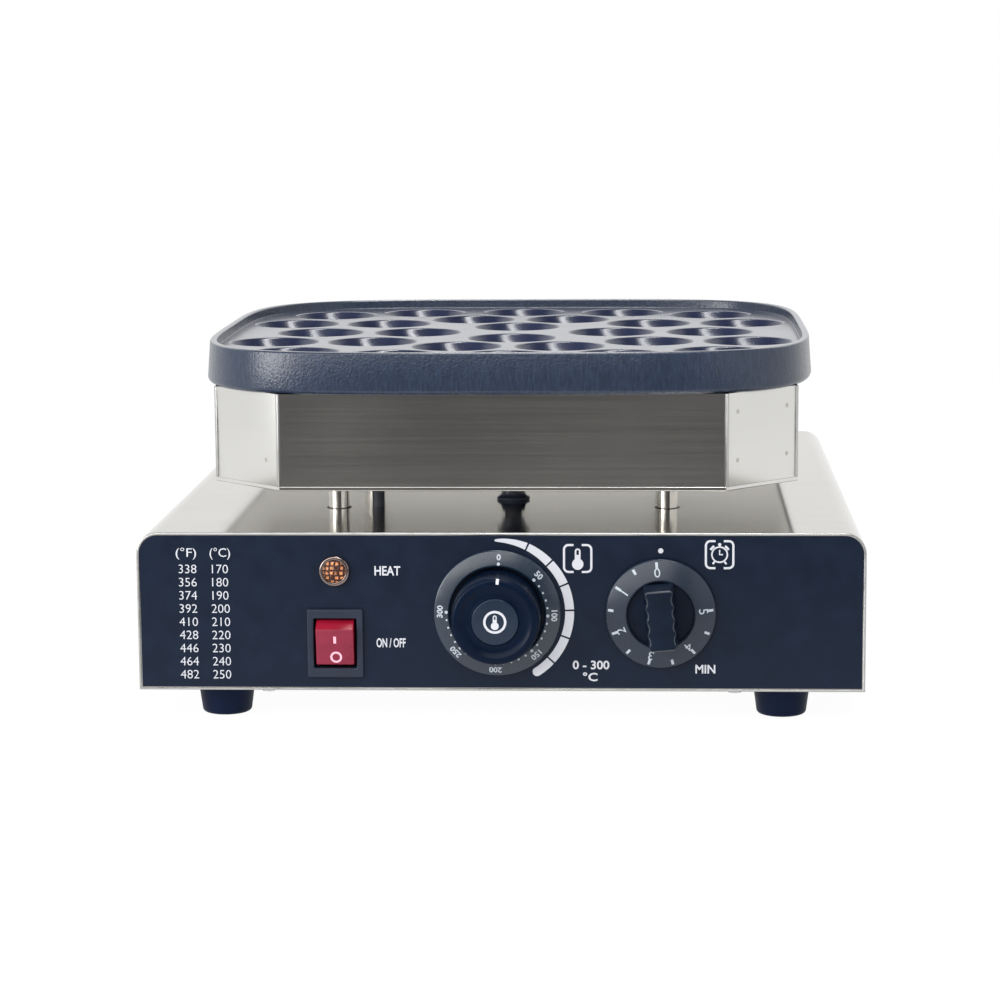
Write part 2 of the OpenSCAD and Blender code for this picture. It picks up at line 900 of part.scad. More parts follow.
// One straight wall with its bent ends behind the corner plates and its top flange.
// The wall faces -Y before it is turned: half is half its straight length and
// out is the distance from the head's middle to its outer face.
module head_wall(turn, half, out) {
    notch = head_sheet * tan(HALF_BEND);
    bend_half = half - notch;
    slant = lap_w / sqrt(2);
    wall_h = plate_z - head_floor;
    translate([0, head_y, 0])
        rotate([0, 0, turn])
            difference() {
                union() {
                    translate([0, 0, head_floor])
                        linear_extrude(wall_h)
                            polygon([[-half, -out], [half, -out],
                                [bend_half, head_sheet - out],
                                [bend_half + slant, head_sheet - out + slant],
                                [bend_half + slant - head_sheet / sqrt(2),
                                    head_sheet - out + slant + head_sheet / sqrt(2)],
                                [bend_half - notch, 2 * head_sheet - out],
                                [bend_half - lap_w, 2 * head_sheet - out],
                                [bend_half - lap_w, head_sheet - out],
                                [lap_w - bend_half, head_sheet - out],
                                [lap_w - bend_half, 2 * head_sheet - out],
                                [notch - bend_half, 2 * head_sheet - out],
                                [head_sheet / sqrt(2) - slant - bend_half,
                                    head_sheet - out + slant + head_sheet / sqrt(2)],
                                [-slant - bend_half, head_sheet - out + slant],
                                [-bend_half, head_sheet - out]]);
                    translate([-top_flange_l / 2, -out, plate_z - head_sheet])
                        cube([top_flange_l, head_sheet + top_flange_w, head_sheet]);
                }
                for (side = [-1, 1])
                    translate([side * plate_screw_half, head_sheet + plate_screw_in - out,
                        plate_z - 2 * head_sheet])
                        cylinder(r = plate_screw_r + pass_gap, h = 3 * head_sheet);
            }
}

module head_front_wall() {
    color(STEEL)
        head_wall(0, head_w / 2 - head_chamfer, head_d / 2);
}

module head_rear_wall() {
    color(STEEL)
        head_wall(180, head_w / 2 - head_chamfer, head_d / 2);
}

module head_left_wall() {
    color(STEEL)
        head_wall(-90, head_d / 2 - head_chamfer, head_w / 2);
}

module head_right_wall() {
    color(STEEL)
        head_wall(90, head_d / 2 - head_chamfer, head_w / 2);
}

// Flat plate over one chamfer, cut to the quarter that it closes
module head_corner(sx, sy) {
    color(STEEL)
        translate([0, head_y, head_floor])
            linear_extrude(plate_z - head_floor) {
                outer = [head_w / 2, head_d / 2];
                notch = head_sheet * tan(HALF_BEND);
                polygon([
                    [sx * outer[0], sy * (outer[1] - head_chamfer)],
                    [sx * (outer[0] - head_chamfer), sy * outer[1]],
                    [sx * (outer[0] - head_chamfer - notch), sy * (outer[1] - head_sheet)],
                    [sx * (outer[0] - head_sheet), sy * (outer[1] - head_chamfer - notch)]]);
            }
}

module insulation_pad() {
    color(WOOL)
        difference() {
            head_slab(wool_gap, head_floor, pad_t);
            passage_holes(head_floor, pad_t, grommet_r + pass_gap);
            post_holes(head_floor, pad_t, M6_NUT_D / 2 + pass_gap);
        }
}

module reflector_plate() {
    color(STEEL)
        difference() {
            head_slab(wool_gap, pad_top, reflector_t);
            passage_holes(pad_top, reflector_t, conduit_d / 2 + seat_gap);
        }
}

module baking_plate() {
    color(PLATE_BLUE)
        difference() {
            translate([0, head_y, plate_z])
                difference() {
                    crowned_block(plate_w, plate_d, rim_h, plate_r, rim_round);
                    translate([0, 0, rim_h - face_drop])
                        round_block(plate_w - 2 * rim_w, plate_d - 2 * rim_w, rim_h, plate_r - rim_w);
                }
            at_cups() {
                translate([0, 0, plate_face - cup_depth + cup_ball_r])
                    sphere(cup_ball_r);
                translate([0, 0, plate_face - cup_bevel])
                    cylinder(r1 = cup_throat_r, r2 = cup_r, h = cup_bevel);
            }
            at_studs()
                translate([0, 0, plate_z - stud_sink])
                    cylinder(r = stud_r + run_gap, h = 2 * stud_sink);
            at_plate_screws()
                translate([0, 0, -stud_sink])
                    cylinder(r = plate_screw_r + seat_gap, h = 2 * stud_sink + head_sheet);
        }
}

module plate_screws() {
    color(DARK_STEEL)
        at_plate_screws()
            pan_screw(plate_screw_r, stud_sink, 2 * plate_screw_r, plate_screw_r);
}

// Hairpin heating element with a cold pin on each end
module heating_element(side) {
    outer_y = head_y + side * (stud_y + heater_bend);
    inner_y = head_y + side * (stud_y - heater_bend);
    color(DARK_STEEL) {
        routed_rod([[heater_end_x, outer_y, heater_z], [heater_turn_x, outer_y, heater_z],
            [heater_turn_x, inner_y, heater_z], [heater_end_x, inner_y, heater_z]], heater_r, heater_bend);
        for (y = [outer_y, inner_y])
            translate([pin_end_x, y, heater_z])
                rotate([0, 90, 0])
                    cylinder(r = pin_r, h = pin_out);
    }
}

module heating_element_front() {
    heating_element(FRONT);
}

module heating_element_rear() {
    heating_element(REAR);
}

module heater_insulators() {
    color(CERAMIC)
        for (side = [FRONT, REAR], leg = [-1, 1])
            translate([heater_end_x, head_y + side * (stud_y + leg * heater_bend), heater_z])
                rotate([0, -90, 0])
                    difference() {
                        cylinder(r = insulator_r, h = insulator_l);
                        translate([0, 0, -insulator_l])
                            cylinder(r = pin_r + seat_gap, h = 3 * insulator_l);
                    }
}

module heater_clamps() {
    reach = stud_y + heater_bend + heater_r + clamp_margin;
    color(DARK_STEEL)
        difference() {
            for (ix = [-1 : 1])
                translate([ix * stud_x - clamp_w / 2, head_y - reach, clamp_top - clamp_t])
                    cube([clamp_w, 2 * reach, clamp_t]);
            at_studs()
                translate([0, 0, clamp_top - 2 * clamp_t])
                    cylinder(r = stud_r + pass_gap, h = 3 * clamp_t);
        }
}

module clamp_studs() {
    low = clamp_top - clamp_t - M6_NUT_H - stud_end;
    color(DARK_STEEL)
        at_studs()
            translate([0, 0, low])
                cylinder(r = stud_r, h = plate_z + stud_sink - seat_gap - low);
}

module clamp_nuts() {
    color(DARK_STEEL)
        at_studs()
            translate([0, 0, clamp_top - clamp_t - M6_NUT_H])
                hex_nut(M6_NUT_D, M6_NUT_H, stud_r + seat_gap);
}

module thermostat_bulb() {
    color(COPPER)
        translate([bulb_x0, head_y + bulb_y, heater_z])
            rotate([0, 90, 0])
                cylinder(r = heater_r, h = bulb_x1 - bulb_x0);
}

// Capillary from the bulb, down its sleeve and forward to the thermostat's side
module capillary_tube() {
    body_y = cover_y0 + thermostat_l / 2;
    color(COPPER)
        routed_rod([[bulb_x0, head_y + bulb_y, heater_z], [sleeve_x, head_y + bulb_y, heater_z],
            [sleeve_x, head_y + bulb_y, capillary_level], [sleeve_x, sleeve_y_abs, capillary_level],
            [sleeve_x, sleeve_y_abs, capillary_low], [sleeve_x, body_y, capillary_low],
            [dial_x - thermostat_w / 2, body_y, capillary_low]], capillary_r, capillary_bend);
}

module switch_housing() {
    color(BLACK)
        on_panel(switch_x, switch_z)
            difference() {
                union() {
                    translate([-switch_w / 2, -switch_h / 2, 0])
                        cube([switch_w, switch_h, switch_lip]);
                    translate([-switch_body_w / 2, -switch_body_h / 2, -switch_l])
                        cube([switch_body_w, switch_body_h, switch_l + switch_lip]);
                }
                translate([-switch_cavity_w / 2, -switch_cavity_h / 2, switch_floor - switch_l])
                    cube([switch_cavity_w, switch_cavity_h, 2 * switch_l]);
                translate([-pivot_l / 2 - run_gap, 0, -pivot_depth])
                    rotate([0, 90, 0])
                        cylinder(r = pivot_r + run_gap, h = pivot_l + 2 * run_gap);
            }
}

// Rocker tipped to its off side, with the pins that it tips on
module power_rocker() {
    color(RED)
        on_panel(switch_x, switch_z)
            translate([0, 0, -pivot_depth])
                rotate([rocker_travel / 2, 0, 0]) {
                    translate([-rocker_w / 2, 0, 0])
                        rotate([90, 0, 90])
                            linear_extrude(rocker_w)
                                polygon([[-rocker_base, -rocker_flank], [-rocker_base, rocker_base_out],
                                    [-rocker_face, rocker_face_out], [rocker_face, rocker_face_out],
                                    [rocker_base, rocker_base_out], [rocker_base, -rocker_flank],
                                    [rocker_tail, -rocker_tail], [-rocker_tail, -rocker_tail]]);
                    translate([-pivot_l / 2, 0, 0])
                        rotate([0, 90, 0])
                            cylinder(r = pivot_r, h = pivot_l);
                }
}

module switch_terminals() {
    color(STEEL)
        on_panel(switch_x, switch_z)
            for (sx = [LEFT, RIGHT], sy = [-1, 1])
                translate([sx * switch_body_w / 4 - blade_w / 2, sy * switch_body_h / 4,
                    -switch_l - blade_l])
                    cube([blade_w, blade_t, blade_l]);
}

module pilot_bezel() {
    color(COPPER)
        on_panel(switch_x, pilot_z)
            difference() {
                cylinder(d1 = pilot_d, d2 = pilot_d - 2 * pilot_slope, h = pilot_rim_h);
                translate([0, 0, -pilot_rim_h])
                    cylinder(r = pilot_lens_r + seat_gap, h = 3 * pilot_rim_h);
            }
}

module pilot_lens() {
    dome_r = (pilot_lens_r * pilot_lens_r + pilot_rim_h * pilot_rim_h) / (2 * pilot_rim_h);
    color(AMBER)
        on_panel(switch_x, pilot_z)
            intersection() {
                cylinder(r = pilot_lens_r, h = pilot_dome);
                translate([0, 0, pilot_dome - dome_r])
                    sphere(dome_r);
            }
}

module pilot_body() {
    color(BLACK)
        on_panel(switch_x, pilot_z)
            translate([0, 0, -pilot_l])
                cylinder(r = pilot_body_r, h = pilot_l);
}

module temperature_dial_ring() {
    inner_r = knob_d / 2 + knob_play;
    outer_r = dial_d / 2;
    color(DIAL_GREY)
        on_panel(dial_x, panel_mid_z)
            rotate_extrude()
                polygon([[inner_r, 0], [outer_r, 0], [outer_r, ring_low - ring_edge],
                    [outer_r - ring_edge, ring_low], [inner_r + ring_edge, ring_high],
                    [inner_r, ring_high - ring_edge]]);
}

// Flatted shaft or bore, flat on its lower side
module flatted(r, flat, h) {
    intersection() {
        cylinder(r = r, h = h);
        translate([-2 * r, -flat, 0])
            cube([4 * r, 4 * r, h]);
    }
}

module temperature_knob() {
    wall_r = knob_d / 2;
    edge_r = wall_r - knob_draft;
    color(BLACK)
        on_panel(dial_x, panel_mid_z)
            difference() {
                rotate_extrude()
                    polygon([[0, hub_lift], [hub_r, hub_lift], [hub_r, knob_reach - 2 * knob_wall],
                        [wall_r - knob_wall, knob_reach - 2 * knob_wall], [wall_r - knob_wall, knob_lift],
                        [wall_r, knob_lift], [edge_r, knob_reach - knob_edge],
                        [edge_r - knob_edge, knob_reach], [edge_r - knob_edge - knob_rim, knob_reach],
                        [boss_r + boss_foot, knob_reach - dish_depth], [boss_r, knob_reach - boss_edge],
                        [boss_r - boss_edge, knob_reach], [0, knob_reach]]);
                flatted(shaft_r + run_gap, shaft_flat + run_gap, bore_top);
            }
}

// Case of a control behind the panel, with its bush through the panel
module control_case(w, h, l) {
    difference() {
        union() {
            translate([-w / 2, -h / 2, panel_back - l])
                cube([w, h, l]);
            translate([0, 0, panel_back - l / 2])
                cylinder(r = bush_r, h = bush_out - panel_back + l / 2);
        }
        translate([0, 0, panel_back - shaft_sink - seat_gap])
            cylinder(r = shaft_r + run_gap, h = 3 * shaft_sink);
        for (side = [LEFT, RIGHT])
            translate([side * control_screw_half, 0, -control_screw_sink - seat_gap])
                cylinder(r = control_screw_r + seat_gap, h = 2 * control_screw_sink);
    }
}

// Control shaft, round in its bush and flatted in its knob
module control_shaft(top) {
    on_panel(0, 0) {
        translate([0, 0, panel_back - shaft_sink])
            cylinder(r = shaft_r, h = hub_lift - panel_back + shaft_sink);
        flatted(shaft_r, shaft_flat, top);
    }
}

module thermostat_body() {
    color(CERAMIC)
        on_panel(dial_x, panel_mid_z)
            control_case(thermostat_w, thermostat_h, thermostat_l);
}

module thermostat_shaft() {
    color(STEEL)
        translate([dial_x, 0, panel_mid_z])
            control_shaft(bore_top - seat_gap);
}

module timer_knob() {
    wall_r = timer_d / 2;
    color(DIAL_GREY)
        on_panel(timer_x, panel_mid_z)
            difference() {
                union() {
                    rotate_extrude()
                        polygon([[0, hub_lift], [hub_r, hub_lift], [hub_r, skirt_hollow],
                            [wall_r - knob_wall, skirt_hollow], [wall_r - knob_wall, knob_lift],
                            [wall_r, knob_lift], [wall_r, skirt_rim - skirt_edge],
                            [wall_r - skirt_edge, skirt_rim],
                            [finger_r + finger_slope, skirt_top], [finger_r, skirt_floor],
                            [0, skirt_floor]]);
                    translate([0, grip_l / 2, 0])
                        rotate([90, 0, 0])
                            linear_extrude(grip_l)
                                polygon([[-grip_foot_w / 2, skirt_floor - grip_sink],
                                    [grip_foot_w / 2, skirt_floor - grip_sink],
                                    [grip_w / 2, timer_reach], [-grip_w / 2, timer_reach]]);
                }
                flatted(shaft_r + run_gap, shaft_flat + run_gap, timer_bore_top);
            }
}

module timer_body() {
    color(DARK_STEEL)
        on_panel(timer_x, panel_mid_z)
            control_case(timer_body_w, timer_body_w, timer_body_l);
}

module timer_shaft() {
    color(STEEL)
        translate([timer_x, 0, panel_mid_z])
            control_shaft(timer_bore_top - seat_gap);
}

module control_screws() {
    color(STEEL)
        at_control_screws()
            mirror([0, 0, 1])
                pan_screw(control_screw_r, control_screw_sink, control_screw_head_r, control_screw_head_h);
}

module terminal_block() {
    color(CERAMIC)
        translate([0, block_y, cover_z0])
            difference() {
                translate([-block_w / 2, -block_d / 2, 0])
                    cube([block_w, block_d, block_h]);
                for (i = [0 : block_holes - 1], sy = [-1, 1])
                    translate([(i - (block_holes - 1) / 2) * block_w / block_holes, sy * block_d / 4,
                        block_h / 2])
                        cylinder(r = block_hole_r, h = block_h);
            }
}

// Two leads from the elements down the conduit, to the timer and to the terminal block,
// and the link between the two elements
module heater_leads() {
    inner_y = stud_y - heater_bend;
    outer_y = stud_y + heater_bend;
    lead_a_y = conduit_y_abs - wire_gap;
    lead_b_y = conduit_y_abs + wire_gap;
    color(RED) {
        routed_rod([[pin_end_x, head_y - inner_y, heater_z], [lead_a_x, head_y - inner_y, heater_z],
            [lead_a_x, head_y - inner_y, wire_level], [lead_a_x, lead_a_y, wire_level],
            [conduit_x, lead_a_y, wire_level], [conduit_x, lead_a_y, lead_mid],
            [timer_x, lead_a_y, lead_mid], [timer_x, cover_y0 + timer_body_l, lead_mid]],
            wire_r, wire_bend);
        routed_rod([[pin_end_x, head_y + inner_y, heater_z], [lead_b_x, head_y + inner_y, heater_z],
            [lead_b_x, head_y + inner_y, wire_level], [lead_b_x, lead_b_y, wire_level],
            [conduit_x, lead_b_y, wire_level], [conduit_x, lead_b_y, lead_low],
            [conduit_x, block_y - block_d / 2, lead_low]], wire_r, wire_bend);
        routed_rod([[pin_end_x, head_y - outer_y, heater_z], [link_x, head_y - outer_y, heater_z],
            [link_x, head_y + outer_y, heater_z], [pin_end_x, head_y + outer_y, heater_z]],
            wire_r, wire_bend);
    }
}

base_cover();
front_panel();
panel_overlay();
rear_panel();
bottom_plate();
rubber_foot(LEFT, FRONT);  // rubber_foot_front_left
rubber_foot(RIGHT, FRONT);  // rubber_foot_front_right
rubber_foot(LEFT, REAR);  // rubber_foot_rear_left
rubber_foot(RIGHT, REAR);  // rubber_foot_rear_right
foot_screws();
panel_screws();
cord_gland();
gland_cap();
gland_nut();
support_post(LEFT, FRONT);  // support_post_front_left
support_post(RIGHT, FRONT);  // support_post_front_right
support_post(LEFT, REAR);  // support_post_rear_left
support_post(RIGHT, REAR);  // support_post_rear_right
post_nuts();
lower_grommet();
upper_grommet();
wire_conduit();
capillary_sleeve();
head_bottom();
head_front_wall();
head_rear_wall();
head_left_wall();
head_right_wall();
head_corner(LEFT, FRONT);  // head_corner_front_left
head_corner(RIGHT, FRONT);  // head_corner_front_right
head_corner(LEFT, REAR);  // head_corner_rear_left
head_corner(RIGHT, REAR);  // head_corner_rear_right
insulation_pad();
reflector_plate();
baking_plate();
plate_screws();
heating_element_front();
heating_element_rear();
heater_insulators();
heater_clamps();
clamp_studs();
clamp_nuts();
thermostat_bulb();
capillary_tube();
switch_housing();
power_rocker();
switch_terminals();
pilot_bezel();
pilot_lens();
pilot_body();
temperature_dial_ring();
temperature_knob();
thermostat_body();
thermostat_shaft();
timer_knob();
timer_body();
timer_shaft();
control_screws();
terminal_block();
heater_leads();
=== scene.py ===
"""Looks of an electric pancake baker, dressed around the fixed frame of its solids.

Every length is in metres, in the frame's own axes: +Z up, the control panel towards -Y, +X to the
right of someone in front of it. A piece's place is in its mesh, and its object stays at the origin.
"""

import json
import logging
import math
from dataclasses import dataclass
from enum import Enum
from functools import cache
from typing import Optional, Sequence, Union

import bmesh
import bpy
from bmesh.types import BMesh, BMFace, BMVert
from mathutils import Matrix, Vector


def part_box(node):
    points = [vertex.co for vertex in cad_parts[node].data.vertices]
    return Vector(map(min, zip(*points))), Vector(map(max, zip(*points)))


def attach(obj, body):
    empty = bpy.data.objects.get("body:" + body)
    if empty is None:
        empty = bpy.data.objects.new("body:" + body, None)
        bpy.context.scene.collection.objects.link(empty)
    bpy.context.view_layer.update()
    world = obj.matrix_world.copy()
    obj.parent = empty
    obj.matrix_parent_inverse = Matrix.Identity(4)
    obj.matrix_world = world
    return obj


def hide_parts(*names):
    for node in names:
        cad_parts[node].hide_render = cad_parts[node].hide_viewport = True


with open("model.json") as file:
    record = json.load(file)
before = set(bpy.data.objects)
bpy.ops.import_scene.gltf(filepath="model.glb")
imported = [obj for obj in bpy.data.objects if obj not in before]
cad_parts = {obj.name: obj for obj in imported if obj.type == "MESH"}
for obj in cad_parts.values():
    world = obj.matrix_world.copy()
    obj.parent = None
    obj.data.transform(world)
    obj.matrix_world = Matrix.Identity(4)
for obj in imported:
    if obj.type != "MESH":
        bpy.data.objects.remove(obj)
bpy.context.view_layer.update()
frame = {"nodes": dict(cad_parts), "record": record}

Point = tuple[float, float]
Triple = tuple[float, float, float]
Colour = tuple[float, float, float]
Socket = bpy.types.NodeSocket
Wires = dict[Union[str, int], Union[Socket, float, tuple[float, ...]]]

MM = 0.001
DEGREE = math.pi / 180
QUARTER_TURN = math.pi / 2
FULL_TURN = 2 * math.pi
LOG = logging.getLogger("baker")

# Corners closer than the first are one, and heights closer than the second are level
MERGE_GAP = 1e-7
LEVEL_GAP = 0.01 * MM

# The photograph's side in pixels, and the camera's sensor in millimetres
PHOTO_SIDE = 1000
SENSOR = 36.0

# Half the thickness of printed lines, the share of it in dots, and the steps round dots and circles
INK = 0.05 * MM
DOT_SHARE = 0.8
DOT_STEPS = 24
CIRCLE_STEPS = 48

# Numbers of a Mix node's two inputs and its result, for vectors and for colours
MIX_VECTOR = (4, 5, 1)
MIX_COLOUR = (6, 7, 2)
WHITE = (1.0, 1.0, 1.0, 1.0)


class Body(str, Enum):
    """Bodies of the frame that a piece can ride on."""

    CHASSIS = "chassis"
    DIAL = "temperature_dial"
    TIMER = "timer_dial"
    ROCKER = "switch_rocker"


class Sheet(Enum):
    """Whether a sheet of the studio is seen and casts a shadow, or only shows in mirrors."""

    SEEN = True
    MIRRORED_ONLY = False


class Corner(Enum):
    """Corners of the object, with the turn of their outward side from the front, in degrees."""

    FRONT_LEFT = ("front_left", -45.0)
    FRONT_RIGHT = ("front_right", 45.0)
    REAR_LEFT = ("rear_left", -135.0)
    REAR_RIGHT = ("rear_right", 135.0)

    @property
    def label(self) -> str:
        """The corner's words in the names of its solids."""
        return self.value[0]

    @property
    def turn(self) -> float:
        """Turn of its outward side from the front, in degrees."""
        return self.value[1]


class Bush(Enum):
    """Rubber bushes round the leads, with the way that each one stands: 1 is up, -1 is down."""

    LOWER = ("lower", 1)
    UPPER = ("upper", -1)


def middle(node: str) -> Vector:
    """Middle of a solid's box."""
    low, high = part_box(node)
    return (low + high) / 2


def half_width(node: str) -> float:
    """Half of a solid's width, which is the radius of a round one."""
    low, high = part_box(node)
    return (high.x - low.x) / 2


def arc(centre: Point, radius: float, start: float, stop: float, steps: int) -> list[Point]:
    """Points along an arc of a profile.

    Args:
        centre: Middle of the arc.
        radius: Radius of the arc.
        start: Angle of the first point in degrees, counted from the first axis.
        stop: Angle of the last point in degrees.
        steps: Number of straight steps.

    Returns:
        The points, both ends included.
    """
    turns = [(start + (stop - start) * i / steps) * DEGREE for i in range(steps + 1)]
    return [(centre[0] + radius * math.cos(t), centre[1] + radius * math.sin(t)) for t in turns]


def at(x: float = 0.0, y: float = 0.0, z: float = 0.0) -> Matrix:
    """Shift within a local frame."""
    return Matrix.Translation((x, y, z))


def facing(spot: Vector, turn: float = 0.0) -> Matrix:
    """Matrix of a place on an upright face, with local x along it, y up and z out of it.

    Args:
        spot: Origin of the place.
        turn: Turn of the face from the front, in degrees.

    Returns:
        The matrix from the local frame to the object's frame.
    """
    upright = Matrix.Rotation(QUARTER_TURN, 4, "X")
    return Matrix.Translation(spot) @ Matrix.Rotation(turn * DEGREE, 4, "Z") @ upright


def panel_place(x: float, z: float, lift: float = 0.0) -> Matrix:
    """Matrix of a place on the control panel, at a distance in front of its overlay."""
    return facing(Vector((x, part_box("panel_overlay")[0].y - lift, z)))


def panel_spot(node: str, lift: float = 0.0) -> Matrix:
    """Matrix of the place on the control panel that a solid is centred on."""
    spot = middle(node)
    return panel_place(spot.x, spot.z, lift)


def panel_reach(node: str) -> Point:
    """How far a solid's ends stand in front of the overlay.

    Args:
        node: The solid.

    Returns:
        The reach of its back and of its front.
    """
    low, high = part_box(node)
    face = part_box("panel_overlay")[0].y
    return face - high.y, face - low.y


def around(angle: float) -> Matrix:
    """Turn of a local panel frame, clockwise as seen from the front, in degrees."""
    return Matrix.Rotation(-angle * DEGREE, 4, "Z")


def scaled(value: float, shares: Point) -> Point:
    """A value times each of two shares."""
    return value * shares[0], value * shares[1]


def tones(colour: Colour, shares: Point) -> tuple[Colour, ...]:
    """Two tones of a colour, lighter or darker by a share each."""
    return tuple(tuple(min(1.0, part * share) for part in colour) for share in shares)


class Wiring:
    """Node tree in the making."""

    def __init__(self, tree: bpy.types.NodeTree) -> None:
        """Take up a tree."""
        self.tree = tree

    def add(self, kind: str, wires: Optional[Wires] = None, **settings: str) -> bpy.types.Node:
        """Add a node.

        Args:
            kind: Type of the node.
            wires: What each socket gets, by its name or number: another node's result, or a value.
            settings: Properties of the node.

        Returns:
            The node.
        """
        node = self.tree.nodes.new(kind)
        for key, value in settings.items():
            setattr(node, key, value)
        for key, value in (wires or {}).items():
            if isinstance(value, Socket):
                self.tree.links.new(value, node.inputs[key])
            else:
                node.inputs[key].default_value = value
        return node

    def math(self, operation: str, first: Socket, second: Union[Socket, float] = 0.0) -> Socket:
        """Result of a sum on one pattern and another, or on one and a number."""
        return self.add("ShaderNodeMath", {0: first, 1: second}, operation=operation).outputs[0]

    def between(self, share: Union[Socket, float], first: Socket, second: Socket) -> Socket:
        """Mix of two shaders, by the share of the second."""
        return self.add("ShaderNodeMixShader", {"Fac": share, 1: first, 2: second}).outputs["Shader"]

    def show(self, output: str, shader: Socket) -> None:
        """Link a shader to the tree's output."""
        self.tree.links.new(shader, self.tree.nodes[output].inputs["Surface"])

    def seen_rays(self) -> Socket:
        """Tell rays that see or mirror the background from those that only light the object.

        Returns:
            1 for the first and 0 for the others.
        """
        path = self.add("ShaderNodeLightPath").outputs
        seen = self.math("MAXIMUM", path["Is Camera Ray"], path["Is Glossy Ray"])
        return self.math("MAXIMUM", seen, path["Is Transmission Ray"])


class Recipe(Wiring):
    """Nodes of one material, around its principled shader."""

    def __init__(self, name: str) -> None:
        """Start the material with an empty shader.

        Args:
            name: Name of the material.
        """
        self.material = bpy.data.materials.new(name)
        self.material.use_nodes = True
        super().__init__(self.material.node_tree)
        self.shader = self.tree.nodes["Principled BSDF"]

    def set(self, **values: Union[float, Colour]) -> "Recipe":
        """Set the shader's own sockets.

        Args:
            values: Their values, by their names written with underscores.

        Returns:
            The recipe itself.
        """
        for key, value in values.items():
            full = (*value, 1.0) if isinstance(value, tuple) else value
            self.shader.inputs[key.replace("_", " ")].default_value = full
        return self

    def feed(self, socket: str, source: Socket) -> None:
        """Link a pattern to one of the shader's sockets."""
        self.tree.links.new(source, self.shader.inputs[socket])

    def coords(self, scale: Triple = (1.0, 1.0, 1.0)) -> Socket:
        """Object coordinates, stretched by a scale for each axis."""
        source = self.add("ShaderNodeTexCoord").outputs["Object"]
        return self.add("ShaderNodeMapping", {"Vector": source, "Scale": scale}).outputs["Vector"]

    def noise(self, vector: Socket, scale: float, detail: float = 2.0) -> Socket:
        """Soft noise on a vector, from 0 to 1."""
        wires = {"Vector": vector, "Scale": scale, "Detail": detail}
        return self.add("ShaderNodeTexNoise", wires).outputs["Fac"]

    def cells(self, vector: Socket, scale: float, scatter: float) -> Socket:
        """Distance from the edges of a field of cells, which are scattered a little."""
        wires = {"Vector": vector, "Scale": scale, "Randomness": scatter}
        return self.add("ShaderNodeTexVoronoi", wires, feature="DISTANCE_TO_EDGE").outputs["Distance"]

    def spread(self, source: Socket, low: float, high: float, span: Point = (0.3, 0.7)) -> Socket:
        """Map a span of a pattern to a range of values."""
        wires = {"Value": source, "From Min": span[0], "From Max": span[1], "To Min": low, "To Max": high}
        return self.add("ShaderNodeMapRange", wires).outputs["Result"]

    def tint(self, source: Socket, dark: Colour, light: Colour, span: Point = (0.3, 0.7)) -> Socket:
        """Colour between two tones, by a pattern.

        Args:
            source: The pattern.
            dark: Tone where it is low.
            light: Tone where it is high.
            span: Values of the pattern that the two tones belong to.

        Returns:
            The colour.
        """
        first, second, result = MIX_COLOUR
        wires = {"Factor": self.spread(source, 0.0, 1.0, span), first: (*dark, 1.0), second: (*light, 1.0)}
        return self.add("ShaderNodeMix", wires, data_type="RGBA").outputs[result]

    def bump(self, height: Socket, depth: float, under: Optional[Socket] = None) -> Socket:
        """Relief of a given depth, over another relief where there is one."""
        wires = {"Height": height, "Distance": depth, **({"Normal": under} if under else {})}
        return self.add("ShaderNodeBump", wires).outputs["Normal"]


@dataclass(frozen=True)
class BrushedSteel:
    """Stainless sheet with fine brush lines that run level along it."""

    name: str
    tone: Colour
    gloss: float
    line_depth: float = 0.0005 * MM
    line_tint: float = 0.012
    lines_per_m: float = 2400.0
    stretch: float = 0.004
    smudges_per_m: float = 16.0
    detail: float = 3.0
    tint_span: Point = (0.38, 0.62)
    line_gloss: Point = (0.97, 1.03)
    smudge_gloss: Point = (0.94, 1.07)
    level_slope: float = 0.7

    def brush_way(self, recipe: Recipe) -> Socket:
        """Coordinates that are drawn out along the brushing, on level and on upright sheet.

        Args:
            recipe: Recipe that takes the nodes.

        Returns:
            The coordinates.
        """
        normal = recipe.add("ShaderNodeNewGeometry").outputs["Normal"]
        rise = recipe.add("ShaderNodeSeparateXYZ", {"Vector": normal}).outputs["Z"]
        level = recipe.math("GREATER_THAN", recipe.math("ABSOLUTE", rise), self.level_slope)
        first, second, result = MIX_VECTOR
        wires = {"Factor": level, first: recipe.coords((self.stretch, self.stretch, 1.0)),
                 second: recipe.coords((self.stretch, 1.0, self.stretch))}
        return recipe.add("ShaderNodeMix", wires, data_type="VECTOR").outputs[result]

    def make(self) -> bpy.types.Material:
        """Build the material: brush lines, finger smudges and a roughness that follows both.

        Returns:
            The material.
        """
        recipe = Recipe(self.name)
        recipe.set(Metallic=1.0)
        lines = recipe.noise(self.brush_way(recipe), self.lines_per_m, self.detail)
        smudge = recipe.noise(recipe.coords(), self.smudges_per_m, self.detail)
        pattern = recipe.math("MULTIPLY", recipe.math("ADD", lines, smudge), 0.5)
        dark, light = tones(self.tone, (1 - self.line_tint, 1 + self.line_tint))
        recipe.feed("Base Color", recipe.tint(pattern, dark, light, self.tint_span))
        grain = recipe.spread(lines, *scaled(self.gloss, self.line_gloss))
        recipe.feed("Roughness", recipe.math("MULTIPLY", grain, recipe.spread(smudge, *self.smudge_gloss)))
        recipe.feed("Normal", recipe.bump(lines, self.line_depth))
        return recipe.material


